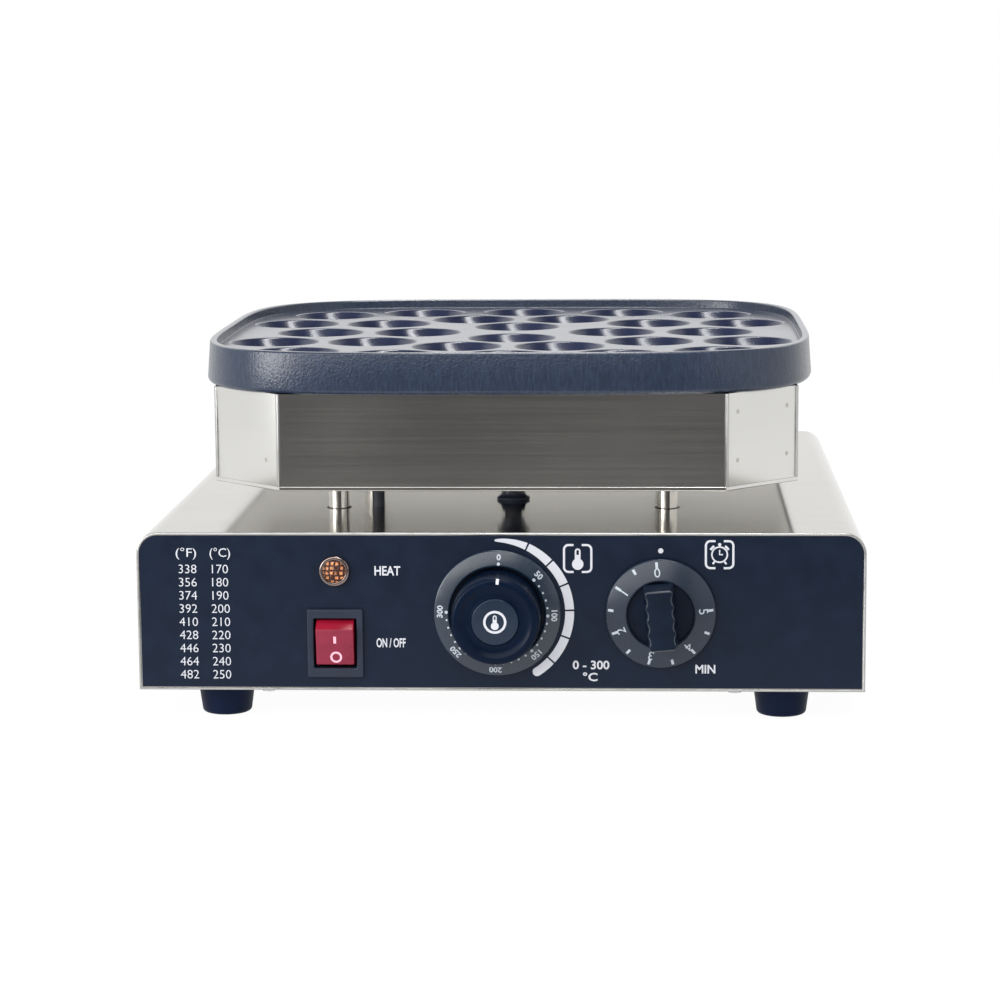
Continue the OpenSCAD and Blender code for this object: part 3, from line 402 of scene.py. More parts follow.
@dataclass(frozen=True)
class TurnedMetal:
    """Bright drawn or turned metal with faint marks."""

    name: str
    tone: Colour
    gloss: float = 0.1
    mark_depth: float = 0.002 * MM
    marks_per_m: float = 1800.0
    mark_stretch: Triple = (0.15, 0.15, 1.0)
    stains_per_m: float = 160.0
    stain_tones: Point = (0.9, 1.05)
    stain_gloss: Point = (0.7, 1.4)

    def make(self) -> bpy.types.Material:
        """Build the material: faint turning marks and small stains.

        Returns:
            The material.
        """
        recipe = Recipe(self.name)
        recipe.set(Metallic=1.0)
        marks = recipe.noise(recipe.coords(self.mark_stretch), self.marks_per_m)
        stains = recipe.noise(recipe.coords(), self.stains_per_m, 4.0)
        recipe.feed("Base Color", recipe.tint(stains, *tones(self.tone, self.stain_tones)))
        recipe.feed("Roughness", recipe.spread(stains, *scaled(self.gloss, self.stain_gloss)))
        recipe.feed("Normal", recipe.bump(marks, self.mark_depth))
        return recipe.material


@dataclass(frozen=True)
class Moulded:
    """Moulded plastic or rubber with a fine sparked grain."""

    name: str
    tone: Colour
    gloss: float = 0.45
    grain_per_m: float = 2600.0
    grain_depth: float = 0.012 * MM
    refraction: float = 1.5
    wear_per_m: float = 90.0
    wear_shares: Point = (0.88, 1.14)

    def make(self) -> bpy.types.Material:
        """Build the material: grain, slight shine changes and a little dust.

        Returns:
            The material.
        """
        recipe = Recipe(self.name)
        recipe.set(IOR=self.refraction)
        grain = recipe.noise(recipe.coords(), self.grain_per_m, 1.0)
        wear = recipe.noise(recipe.coords(), self.wear_per_m, 4.0)
        recipe.feed("Base Color", recipe.tint(wear, *tones(self.tone, self.wear_shares)))
        recipe.feed("Roughness", recipe.spread(wear, *scaled(self.gloss, self.wear_shares)))
        recipe.feed("Normal", recipe.bump(grain, self.grain_depth))
        return recipe.material


@dataclass(frozen=True)
class Coating:
    """Sprayed non-stick coating over a cast plate."""

    name: str
    tone: Colour
    gloss: float
    peel_depth: float = 0.02 * MM
    streak_depth: float = 0.0
    streak_tint: float = 0.1
    anisotropy: float = 0.0
    refraction: float = 1.6
    peel_per_m: float = 800.0
    clouds_per_m: float = 30.0
    streaks_per_m: float = 900.0
    streak_stretch: Triple = (1.0, 1.0, 0.2)
    light_share: float = 1.2
    cloud_gloss: Point = (0.9, 1.12)
    detail: float = 3.0

    def make(self) -> bpy.types.Material:
        """Build the material: sprayed peel, and the upright sanding streaks where it has them.

        Returns:
            The material.
        """
        recipe = Recipe(self.name)
        recipe.set(IOR=self.refraction)
        relief = recipe.bump(recipe.noise(recipe.coords(), self.peel_per_m, self.detail), self.peel_depth)
        cloud = recipe.noise(recipe.coords(), self.clouds_per_m, self.detail)
        pattern = cloud
        if self.streak_depth:
            pattern = recipe.noise(recipe.coords(self.streak_stretch), self.streaks_per_m, self.detail)
            relief = recipe.bump(pattern, self.streak_depth, relief)
        shares = (1 - self.streak_tint, 1 + self.light_share * self.streak_tint)
        recipe.feed("Base Color", recipe.tint(pattern, *tones(self.tone, shares)))
        recipe.feed("Roughness", recipe.spread(cloud, *scaled(self.gloss, self.cloud_gloss)))
        recipe.feed("Normal", relief)
        if self.anisotropy:
            recipe.set(Anisotropic=self.anisotropy)
            turning = recipe.add("ShaderNodeTangent", direction_type="UV_MAP", uv_map="turning")
            recipe.feed("Tangent", turning.outputs["Tangent"])
        return recipe.material


@dataclass(frozen=True)
class Ink:
    """Screen-printed ink."""

    name: str
    tone: Colour
    gloss: float = 0.5
    screen_per_m: float = 1400.0
    screen_tones: Point = (0.9, 1.0)

    def make(self) -> bpy.types.Material:
        """Build the material: slightly uneven opaque ink.

        Returns:
            The material.
        """
        recipe = Recipe(self.name)
        recipe.set(Roughness=self.gloss)
        screen = recipe.noise(recipe.coords(), self.screen_per_m)
        recipe.feed("Base Color", recipe.tint(screen, *tones(self.tone, self.screen_tones)))
        return recipe.material


@dataclass(frozen=True)
class CellLens:
    """Clear moulding with a field of small raised cells inside it."""

    name: str
    tone: Colour
    gap_tone: Colour
    cells_per_m: float = 450.0
    cell_stretch: Triple = (1.0, 0.05, 1.0)
    scatter: float = 0.35
    gap_span: Point = (0.13, 0.42)
    relief: float = 0.6 * MM
    gloss: float = 0.2
    refraction: float = 1.4
    painted_glow: float = 0.3

    def make(self) -> bpy.types.Material:
        """Build the material: bright cells, dark gaps between them and a painted glow that follows the
        cells, standing for light reflected inside the lens.

        Returns:
            The material.
        """
        recipe = Recipe(self.name)
        recipe.set(IOR=self.refraction, Roughness=self.gloss, Emission_Strength=self.painted_glow)
        cells = recipe.cells(recipe.coords(self.cell_stretch), self.cells_per_m, self.scatter)
        colour = recipe.tint(cells, self.gap_tone, self.tone, self.gap_span)
        recipe.feed("Base Color", colour)
        # Painted glow: the cells' colour is also emitted, standing for light reflected inside the lens
        recipe.feed("Emission Color", colour)
        recipe.feed("Normal", recipe.bump(cells, self.relief))
        return recipe.material


Finish = Union[BrushedSteel, TurnedMetal, Moulded, Coating, Ink, CellLens]

BASE_STEEL = BrushedSteel("base_sheet_steel", (0.52, 0.505, 0.465), 0.12, 0.002 * MM, 0.06, 1100.0, 0.006)
HEAD_STEEL = BrushedSteel("head_sheet_steel", (0.66, 0.65, 0.63), 0.18, 0.0003 * MM, 0.1, 1100.0, 0.008)
CORNER_STEEL = BrushedSteel("corner_sheet_steel", (0.68, 0.675, 0.65), 0.24, 0.0002 * MM)
DARK_STEEL = BrushedSteel("under_sheet_steel", (0.42, 0.42, 0.41), 0.3)
# Dark steel that paints the shade in the joints beside the corner plates
SHADE_SEAM_STEEL = BrushedSteel("painted_shade_seam_steel", (0.2, 0.2, 0.2), 0.45)
HEM_STEEL = TurnedMetal("folded_hem_steel", (0.5, 0.5, 0.49), 0.36, 0.0001 * MM)
POST_STEEL = TurnedMetal("polished_post_steel", (0.72, 0.7, 0.66), 0.07)
ZINC = TurnedMetal("zinc_plating", (0.55, 0.55, 0.56), 0.22)
WELD_STEEL = TurnedMetal("tinted_weld_steel", (0.5, 0.48, 0.44), 0.25)
# Darkened steel: real heat tint on the heating elements and the timer body, and painted shade in the washers
# at the posts' feet
HEAT_TINT_AND_SHADE_STEEL = TurnedMetal("heat_tinted_and_shade_steel", (0.2, 0.17, 0.14), 0.32)
COPPER = TurnedMetal("drawn_copper", (0.66, 0.33, 0.2), 0.2)
COPPER_RING = TurnedMetal("copper_plated_ring", (0.27, 0.21, 0.195), 0.15)
OVERLAY_FILM = Moulded("navy_overlay_film", (0.0035, 0.0095, 0.025), 0.38, 3200.0, 0.005 * MM, 1.3)
BEZEL_PLASTIC = Moulded("slate_bezel_plastic", (0.013, 0.02, 0.038), 0.42, refraction=1.4)
BLACK_PLASTIC = Moulded("black_gland_plastic", (0.012, 0.012, 0.015), 0.42)
KNOB_BLACK = Moulded("black_knob_plastic", (0.0012, 0.0062, 0.02), 0.3, refraction=1.19)
# Lighter copy of the knob's black plastic, painting the light that the raised boss catches
BOSS_BLACK = Moulded("painted_light_boss_plastic", (0.011, 0.021, 0.04), 0.3, refraction=1.35)
GRIP_BLACK = Moulded("matt_grip_plastic", (0.0025, 0.008, 0.021), 0.5, refraction=1.25)
# Paler plastic that paints a highlight along the grip's rounded edges
WORN_EDGE = Moulded("painted_highlight_grip_edge", (0.028, 0.036, 0.048), 0.35)
DIAL_GREY = Moulded("grey_dial_plastic", (0.011, 0.02, 0.037), 0.29, refraction=1.5)
RING_GREY = Moulded("grey_ring_plastic", (0.0065, 0.018, 0.037), 0.26, refraction=1.65)
ROCKER_RED = Moulded("red_rocker_plastic", (0.27, 0.006, 0.024), 0.24, 2600.0, 0.004 * MM, 1.4)
ROCKER_ROSE = Moulded("rosy_rocker_face", (0.225, 0.018, 0.043), 0.3, 2600.0, 0.004 * MM, 1.35)
FOOT_RUBBER = Moulded("black_foot_rubber", (0.002, 0.0075, 0.029), 0.5, 1500.0, 0.03 * MM, 1.22)
BUSH_RUBBER = Moulded("glossy_bush_rubber", (0.055, 0.065, 0.11), 0.26, 1200.0, 0.01 * MM)
SLEEVE_RUBBER = Moulded("slate_sleeve_rubber", (0.075, 0.08, 0.1), 0.5, 1200.0, 0.01 * MM)
CERAMIC = Moulded("white_ceramic", (0.8, 0.77, 0.7), 0.3)
WOOL = Moulded("mineral_wool", (0.66, 0.58, 0.38), 0.9, 700.0, 0.4 * MM)
WIRE_COVER = Moulded("red_wire_cover", (0.42, 0.03, 0.03), 0.5)
FACE_COATING = Coating("plate_face_coating", (0.06, 0.068, 0.1), 0.16, 0.004 * MM, refraction=2.4)
RIM_COATING = Coating("plate_rim_coating", (0.019, 0.03, 0.056), 0.25, 0.18 * MM, streak_depth=0.08 * MM,
                      streak_tint=0.22, refraction=1.5)
CUP_COATING = Coating("cup_coating", (0.012, 0.018, 0.051), 0.24, 0.03 * MM, anisotropy=0.5,
                      refraction=1.75)
WHITE_INK = Ink("white_panel_ink", (0.61, 0.62, 0.67))
DIAL_INK = Ink("pale_dial_ink", (0.46, 0.51, 0.57))
SWITCH_INK = Ink("pink_switch_ink", (0.95, 0.5, 0.62))
AMBER = CellLens("amber_lens", (0.85, 0.35, 0.14), (0.03, 0.005, 0.002))


@cache
def material_of(finish: Finish) -> bpy.types.Material:
    """The finish's material, made the first time that it is asked for."""
    return finish.make()


@dataclass(frozen=True)
class Section:
    """Closed outline at a height: a rectangle with round corners, or one whose sides bow throughout."""

    half_x: float
    half_y: float
    corner: float
    height: float
    power: float = 0.0

    def spot(self, turn: float, count: int) -> Vector:
        """Point of the outline at a turn about its middle.

        Args:
            turn: Angle of the point in radians.
            count: Number of points round the outline.

        Returns:
            The point.
        """
        across, along = math.cos(turn), math.sin(turn)
        if self.power:
            reach = (abs(across) ** self.power + abs(along) ** self.power) ** (-1 / self.power)
            return Vector((self.half_x * across * reach, self.half_y * along * reach, self.height))
        arm = self.corner / math.cos(math.pi / count)
        return Vector((math.copysign(self.half_x - self.corner, across) + arm * across,
                       math.copysign(self.half_y - self.corner, along) + arm * along, self.height))


def soften(bm: BMesh, edges: Sequence[bmesh.types.BMEdge], width: float, segments: int) -> None:
    """Round some edges of a mesh."""
    bmesh.ops.bevel(bm, geom=edges, offset=width, segments=segments, profile=0.5, affect="EDGES",
                    material=-1)


class Piece:
    """A mesh in the making, which ends as one named object on a body."""

    def __init__(self, name: str, body: Body, slot: str, *finishes: Finish) -> None:
        """Start an empty mesh.

        Args:
            name: Name of the finished object.
            body: Body that the piece rides on.
            slot: Slot of the record that the finish belongs to; not used.
            finishes: Finishes of the piece, in the order of its faces' numbers.
        """
        self.name = name
        self.body = body
        self.slot = slot
        self.finishes = finishes
        self.bm: BMesh = bmesh.new()

    def since(self, before: set[BMFace]) -> list[BMFace]:
        """Faces that were made since a moment, given those that were there."""
        return [face for face in self.bm.faces if face not in before]

    def settle(self, before: set[BMFace], place: Matrix, finish: int) -> list[BMFace]:
        """Close, place and colour the faces that were made since a moment.

        Args:
            before: Faces that were there at that moment.
            place: Matrix that moves the new faces to their place.
            finish: Number of their finish.

        Returns:
            The new faces.
        """
        verts = list({v for f in self.since(before) for v in f.verts})
        bmesh.ops.remove_doubles(self.bm, verts=verts, dist=MERGE_GAP)
        new = self.since(before)
        bmesh.ops.transform(self.bm, matrix=place, verts=list({v for f in new for v in f.verts}))
        bmesh.ops.recalc_face_normals(self.bm, faces=new)
        for face in new:
            face.material_index = finish
        return new

    def spun(self, profile: Sequence[Point], place: Matrix, steps: int = 96, finish: int = 0,
             ring: bool = False) -> list[BMFace]:
        """Spin a profile of radii and heights about the local z axis.

        Args:
            profile: Radius and height of each point.
            place: Matrix of the turned form's place.
            steps: Number of steps round.
            finish: Number of the finish.
            ring: Whether the profile closes on itself.

        Returns:
            The new faces.
        """
        turned = bmesh.new()
        verts = [turned.verts.new((r, 0.0, h)) for r, h in profile]
        edges = [turned.edges.new(pair) for pair in zip(verts, verts[1:])]
        if ring:
            edges.append(turned.edges.new((verts[-1], verts[0])))
        bmesh.ops.spin(turned, geom=verts + edges, cent=(0, 0, 0), axis=(0, 0, 1), angle=FULL_TURN,
                       steps=steps, use_merge=True, use_duplicate=False)
        mesh = bpy.data.meshes.new("turned")
        turned.to_mesh(mesh)
        turned.free()
        return self.take(mesh, place, finish)

    def loft(self, sections: Sequence[Section], place: Matrix, finish: int = 0, count: int = 48,
             caps: tuple[bool, bool] = (True, True)) -> list[BMFace]:
        """Skin over a row of sections, each drawn out of the one before it.

        Args:
            sections: The sections in their order.
            place: Matrix of the form's place.
            finish: Number of the finish.
            count: Number of points in each section, a multiple of four.
            caps: Whether the first and the last section are closed.

        Returns:
            The new faces.
        """
        before = set(self.bm.faces)
        turns = [FULL_TURN * (i + 0.5) / count for i in range(count)]
        ring = bmesh.ops.create_circle(self.bm, cap_ends=False, segments=count, radius=1.0)["verts"]
        rings = [ring]
        for _ in sections[1:]:
            edges = [self.bm.edges.get(pair) for pair in zip(ring, [*ring[1:], ring[0]])]
            made = bmesh.ops.extrude_edge_only(self.bm, edges=edges)["geom"]
            fresh = {v for v in made if isinstance(v, BMVert)}
            ring = [next(e.other_vert(v) for e in v.link_edges if e.other_vert(v) in fresh) for v in ring]
            rings.append(ring)
        for section, verts in zip(sections, rings):
            for turn, vert in zip(turns, verts):
                vert.co = section.spot(turn, count)
        for wanted, verts in zip(caps, (rings[0], rings[-1])):
            if wanted:
                self.bm.faces.new(verts)
        return self.settle(before, place, finish)

    def slab(self, size: Triple, place: Matrix, finish: int = 0, soft: float = 0.1 * MM) -> list[BMFace]:
        """Box with soft edges about the origin of its place.

        Args:
            size: Its three sides.
            place: Matrix of its place.
            finish: Number of the finish.
            soft: Width of its bevelled edges.

        Returns:
            The new faces.
        """
        before = set(self.bm.faces)
        verts = bmesh.ops.create_cube(self.bm, size=1.0)["verts"]
        bmesh.ops.scale(self.bm, vec=size, verts=verts)
        soften(self.bm, list({e for v in verts for e in v.link_edges}), soft, 2)
        return self.settle(before, place, finish)

    def take(self, mesh: bpy.types.Mesh, place: Matrix, finish: int = 0) -> list[BMFace]:
        """Take in a mesh at a place, and drop it.

        Args:
            mesh: The mesh, such as a word's.
            place: Matrix of its place.
            finish: Number of the finish.

        Returns:
            The new faces.
        """
        before = set(self.bm.faces)
        self.bm.from_mesh(mesh)
        bpy.data.meshes.remove(mesh)
        return self.settle(before, place, finish)

    def swept(self, path: Sequence[Triple], radius: float, place: Matrix, closed: bool = False) -> None:
        """Round bead along a path.

        Args:
            path: Points of the path.
            radius: Radius of the bead.
            place: Matrix of its place.
            closed: Whether the path ends where it starts.
        """
        curve = bpy.data.curves.new("path", "CURVE")
        curve.dimensions = "3D"
        curve.bevel_depth = radius
        curve.bevel_resolution = 4
        curve.use_fill_caps = True
        spline = curve.splines.new("POLY")
        spline.points.add(len(path) - 1)
        spline.use_cyclic_u = closed
        for point, spot in zip(spline.points, path):
            point.co = (*spot, 1.0)
        self.take(mesh_of(curve), place)

    def stroke(self, path: Sequence[Point], width: float, place: Matrix) -> None:
        """Printed line along a flat path."""
        flat = Matrix.Diagonal((1.0, 1.0, 2 * INK / width, 1.0))
        self.swept([(x, y, 0.0) for x, y in path], width / 2, place @ flat)

    def disc(self, radius: float, place: Matrix) -> None:
        """Printed round dot."""
        level = DOT_SHARE * INK
        self.spun([(0.0, -level), (radius, -level), (radius, level), (0.0, level)], place, DOT_STEPS)

    def ring(self, radius: float, width: float, place: Matrix) -> None:
        """Printed circle, with its outer radius and the width of its line."""
        profile = [(radius - width, -INK), (radius, -INK), (radius, INK), (radius - width, INK)]
        self.spun(profile, place, CIRCLE_STEPS, ring=True)

    def done(self, *replaced: str, sharp: float = 32.0) -> bpy.types.Object:
        """Make the object, set it on its body and let it stand for the solids that it replaces.

        Args:
            replaced: Solids of the frame that it stands for.
            sharp: Angle in degrees past which an edge stays sharp.

        Returns:
            The finished object.
        """
        mesh = bpy.data.meshes.new(self.name)
        self.bm.to_mesh(mesh)
        self.bm.free()
        for finish in self.finishes:
            mesh.materials.append(material_of(finish))
        mesh.shade_smooth()
        mesh.set_sharp_from_angle(angle=sharp * DEGREE)
        piece = bpy.data.objects.new(self.name, mesh)
        bpy.context.scene.collection.objects.link(piece)
        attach(piece, self.body.value)
        if replaced:
            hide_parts(*replaced)
        LOG.info("%s: %d faces on %s", self.name, len(mesh.polygons), self.body.value)
        return piece


def mesh_of(curve: bpy.types.Curve) -> bpy.types.Mesh:
    """Mesh of a curve or text, which is dropped.

    Args:
        curve: The curve.

    Returns:
        Its mesh.
    """
    carrier = bpy.data.objects.new(curve.name, curve)
    mesh = bpy.data.meshes.new_from_object(carrier)
    bpy.data.objects.remove(carrier)
    bpy.data.curves.remove(curve)
    return mesh


def word(text: str, height: float, width: Optional[float] = None, weight: float = 0.03) -> bpy.types.Mesh:
    """Flat mesh of a word or number, centred on the origin and facing +Z.

    Args:
        text: What it says.
        height: Height of its capitals or digits.
        width: Width that it is drawn in or out to, where one is given.
        weight: Added stroke, as a share of the height.

    Returns:
        The mesh of the word.
    """
    curve = bpy.data.curves.new("word", "FONT")
    curve.body = text
    curve.resolution_u = 3
    curve.offset = weight
    mesh = mesh_of(curve)
    lows = [min(v.co[i] for v in mesh.vertices) for i in range(2)]
    highs = [max(v.co[i] for v in mesh.vertices) for i in range(2)]
    tall = height / (highs[1] - lows[1])
    wide = width / (highs[0] - lows[0]) if width else tall
    centre = at(-(lows[0] + highs[0]) / 2, -(lows[1] + highs[1]) / 2)
    mesh.transform(Matrix.Diagonal((wide, tall, 1.0, 1.0)) @ centre)
    return mesh


def studio_sheet(name: str, material: bpy.types.Material, place: Matrix, half: Point, sheet: Sheet) -> None:
    """Flat sheet of the studio.

    Args:
        name: Name of the sheet.
        material: Its material.
        place: Matrix of its place.
        half: Half of its two sides.
        sheet: Which rays see it.
    """
    bm = bmesh.new()
    bmesh.ops.create_grid(bm, x_segments=1, y_segments=1, size=1.0)
    bmesh.ops.scale(bm, vec=(*half, 1.0), verts=bm.verts)
    bmesh.ops.transform(bm, matrix=place, verts=bm.verts)
    mesh = bpy.data.meshes.new(name)
    bm.to_mesh(mesh)
    bm.free()
    mesh.materials.append(material)
    stand = bpy.data.objects.new(name, mesh)
    bpy.context.scene.collection.objects.link(stand)
    stand.visible_camera = sheet.value
    stand.visible_diffuse = sheet.value
    stand.visible_shadow = sheet.value


@dataclass(frozen=True)
class Lamp:
    """Soft rectangular lamp, with its two sides, its power in watts and the point that it faces."""

    name: str
    place: Triple
    size: Point
    watts: float
    aim: Triple

    def hang(self) -> None:
        """Put the lamp in the studio."""
        data = bpy.data.lights.new(self.name, "AREA")
        data.shape = "RECTANGLE"
        data.size, data.size_y = self.size
        data.energy = self.watts
        lamp = bpy.data.objects.new(self.name, data)
        lamp.location = self.place
        lamp.rotation_euler = (Vector(self.aim) - Vector(self.place)).to_track_quat("-Z", "Y").to_euler()
        bpy.context.scene.collection.objects.link(lamp)


@dataclass(frozen=True)
class Card:
    """Dark or grey side of the room that only mirrors show, with half of its two sides."""

    name: str
    tone: Colour
    place: Triple
    half: Point
    pitch: float = 0.0

    def stand(self) -> None:
        """Put the card in the studio."""
        material = Recipe(self.name).set(Base_Color=self.tone, Roughness=1.0).material
        place = at(*self.place) @ Matrix.Rotation(self.pitch, 4, "X")
        studio_sheet(self.name, material, place, self.half, Sheet.MIRRORED_ONLY)


CARD_DARK = (0.03, 0.028, 0.026)
CARD_GREY = (0.11, 0.108, 0.105)


@dataclass
class Studio:
    """Camera, background, floor, lamps and the dark sides of the room."""

    camera_place: Triple = (0.0686, -1.5052, 0.3107)
    camera_yaw: float = 2.932
    camera_pitch: float = -8.776
    camera_roll: float = 0.418
    focal_pixels: float = 2922.6
    ambient: float = 0.55
    floor_half: float = 4.0
    floor_paint: Colour = (0.82, 0.82, 0.82)
    floor_glow: float = 1.06
    floor_shade: float = 0.1
    lamps: tuple[Lamp, ...] = (
        Lamp("overhead_strip", (0.16, -0.22, 1.5), (0.26, 1.25), 11.0, aim=(0.0, 0.0, 0.1)),
        Lamp("front_fill", (-0.5, -1.9, 1.2), (2.0, 1.6), 27.0, aim=(0.0, -0.15, 0.06)),
        Lamp("left_softbox", (-1.15, -0.88, 0.38), (0.55, 0.6), 9.0, aim=(0.0, -0.1, 0.15)))
    cards: tuple[Card, ...] = (
        Card("front_card", CARD_GREY, (0.1, -2.3, 0.8), (1.1, 0.8), QUARTER_TURN),
        Card("front_floor_card", CARD_DARK, (0.1, -1.42, 1 * MM), (0.9, 0.92)),
        Card("ceiling_card", CARD_GREY, (0.0, 0.0, 2.4), (2.2, 2.2)))

    def build(self) -> None:
        """Set up everything that isn't the object."""
        bpy.context.scene.view_settings.view_transform = "Standard"
        self.set_camera()
        self.set_world()
        self.lay_floor()
        for lamp in self.lamps:
            lamp.hang()
        for card in self.cards:
            card.stand()

    def set_camera(self) -> None:
        """Place the camera where the photograph was taken from."""
        data = bpy.data.cameras.new("photo_camera")
        data.sensor_width = SENSOR
        data.lens = self.focal_pixels * SENSOR / PHOTO_SIDE
        camera = bpy.data.objects.new("photo_camera", data)
        turn = (Matrix.Rotation(self.camera_yaw * DEGREE, 4, "Z")
                @ Matrix.Rotation(self.camera_pitch * DEGREE, 4, "X")
                @ Matrix.Rotation(self.camera_roll * DEGREE, 4, "Y")
                @ Matrix.Rotation(QUARTER_TURN, 4, "X"))
        camera.matrix_world = at(*self.camera_place) @ turn
        bpy.context.scene.collection.objects.link(camera)
        bpy.context.scene.camera = camera

    def set_world(self) -> None:
        """White background, and a softer even light from all round."""
        world = bpy.data.worlds.new("studio")
        bpy.context.scene.world = world
        world.use_nodes = True
        wiring = Wiring(world.node_tree)
        light = wiring.tree.nodes["Background"]
        light.inputs["Strength"].default_value = self.ambient
        light.inputs["Color"].default_value = WHITE
        white = wiring.add("ShaderNodeBackground", {"Color": WHITE}).outputs["Background"]
        wiring.show("World Output", wiring.between(wiring.seen_rays(), light.outputs["Background"], white))

    def lay_floor(self) -> None:
        """Pale floor that keeps a faint shadow of the object."""
        recipe = Recipe("studio_floor")
        recipe.tree.nodes.remove(recipe.shader)
        paint = recipe.add("ShaderNodeBsdfDiffuse", {"Color": (*self.floor_paint, 1.0)}).outputs["BSDF"]
        white = recipe.add("ShaderNodeEmission", {"Strength": self.floor_glow}).outputs["Emission"]
        shadowed = recipe.between(self.floor_shade, white, paint)
        recipe.show("Material Output", recipe.between(recipe.seen_rays(), paint, shadowed))
        half = (self.floor_half, self.floor_half)
        studio_sheet("studio_floor", recipe.material, Matrix.Identity(4), half, Sheet.SEEN)


@dataclass
class BakingPlate:
    """Coated casting with a raised rim, sides that bow and round cups."""

    bow: float = 4.4
    bow_out: float = 2.5 * MM
    rim_w: float = 4.6 * MM
    draft: float = 1.2 * MM
    rim_round: float = 1.0 * MM
    inner_round: float = 0.8 * MM
    low_round: float = 2.6 * MM
    fillet: float = 0.35 * MM
    face_drop: float = 4.5 * MM
    support: float = 0.08 * MM
    throat_r: float = 21.7 * MM
    lip_drop: float = 0.8 * MM
    cup_depth: float = 12.5 * MM
    rim_points: int = 240
    cup_steps: int = 64
    upward_slope: float = 0.7
    FACE, RIM, CUP = range(3)

    def build(self) -> None:
        """Make the plate, and let it stand for its solid."""
        low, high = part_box("baking_plate")
        half = (high - low) / 2
        spot = middle("baking_plate")
        face_z = high.z - self.face_drop
        piece = Piece("coated_baking_plate", Body.CHASSIS, "plate_coating",
                      FACE_COATING, RIM_COATING, CUP_COATING)
        sections = [Section(half.x + self.bow_out - inset, half.y - inset, 0.0, z, self.bow)
                    for inset, z in self.rim_profile(low.z, high.z, face_z)]
        piece.loft(sections, at(spot.x, spot.y), self.RIM, self.rim_points, (True, False))
        for x, y in self.cup_spots():
            faces = piece.spun(self.cup_profile(), at(x, y, face_z), self.cup_steps, self.CUP)
            self.mark_turning(piece.bm, faces, Vector((x, y)))
        self.close_face(piece, face_z)
        piece.done("baking_plate", sharp=40.0)

    def rim_profile(self, low: float, high: float, face: float) -> list[Point]:
        """Inset and height of each loop, from the underside up and over the rim to the face.

        Args:
            low: Height of the underside.
            high: Height of the rim.
            face: Height of the face.

        Returns:
            The loops in their order.
        """
        inner = self.rim_w - self.inner_round
        floor = self.rim_w + self.fillet
        return [
            *arc((self.low_round, low + self.low_round), self.low_round, 270, 180, 6),
            *arc((self.draft + self.rim_round, high - self.rim_round), self.rim_round, 176, 90, 6),
            *arc((inner, high - self.inner_round), self.inner_round, 90, 0, 5),
            *arc((floor, face + self.fillet), self.fillet, 180, 270, 4),
            (floor + self.support, face)]

    def cup_spots(self) -> list[Point]:
        """Middle of each cup, from the openings that the frame's record states."""
        boxes = [o["box_m"] for o in frame["record"]["physics"]["openings"] if o["name"].startswith("cup_")]
        return [((low[0] + high[0]) / 2, (low[1] + high[1]) / 2) for low, high in boxes]

    def cup_profile(self) -> list[Point]:
        """Outline of a cup below the plate's face.

        Returns:
            Radius and height of each point, from its lip to its bottom.
        """
        bowl = self.cup_depth - self.lip_drop
        ball = (self.throat_r ** 2 + bowl ** 2) / (2 * bowl)
        slope = math.asin(self.throat_r / ball)
        lip = self.lip_drop / (1 - math.cos(slope))
        lip_x = self.throat_r + lip * math.sin(slope)
        rim = arc((lip_x, -lip), lip, 90, 90 + slope / DEGREE, 6)
        dish = arc((0.0, ball - self.cup_depth), ball, slope / DEGREE - 90, -90, 14)
        return [(lip_x + self.support, 0.0), *rim, *dish[1:]]

    def mark_turning(self, bm: BMesh, faces: list[BMFace], centre: Vector) -> None:
        """Map a cup by radius and angle, so that its sheen follows the turning.

        Args:
            bm: Mesh of the plate.
            faces: Faces of the cup.
            centre: Middle of the cup.
        """
        layer = bm.loops.layers.uv.get("turning") or bm.loops.layers.uv.new("turning")
        for face in faces:
            middle_turn = (face.calc_center_median().xy - centre).normalized()
            for corner in face.loops:
                arm = corner.vert.co.xy - centre
                turn = middle_turn.angle_signed(arm) if arm.length > MERGE_GAP else 0.0
                corner[layer].uv = (arm.length / self.throat_r, turn)

    def close_face(self, piece: Piece, face_z: float) -> None:
        """Fill the flat face between the rim and the cups, and give every upward face near the top the
        face's finish.

        Args:
            piece: The plate.
            face_z: Height of its face.
        """
        edges = [e for e in piece.bm.edges if e.is_boundary and abs(e.verts[0].co.z - face_z) < LEVEL_GAP]
        bmesh.ops.triangle_fill(piece.bm, edges=edges, use_beauty=True, normal=(0, 0, 1))
        bmesh.ops.recalc_face_normals(piece.bm, faces=piece.bm.faces)
        top_from = face_z - self.lip_drop / 2
        for face in piece.bm.faces:
            # Upward faces near the top, on the rim and the cups' lips, take the face's finish
            if face.normal.z > self.upward_slope and face.calc_center_median().z > top_from:
                face.material_index = self.FACE


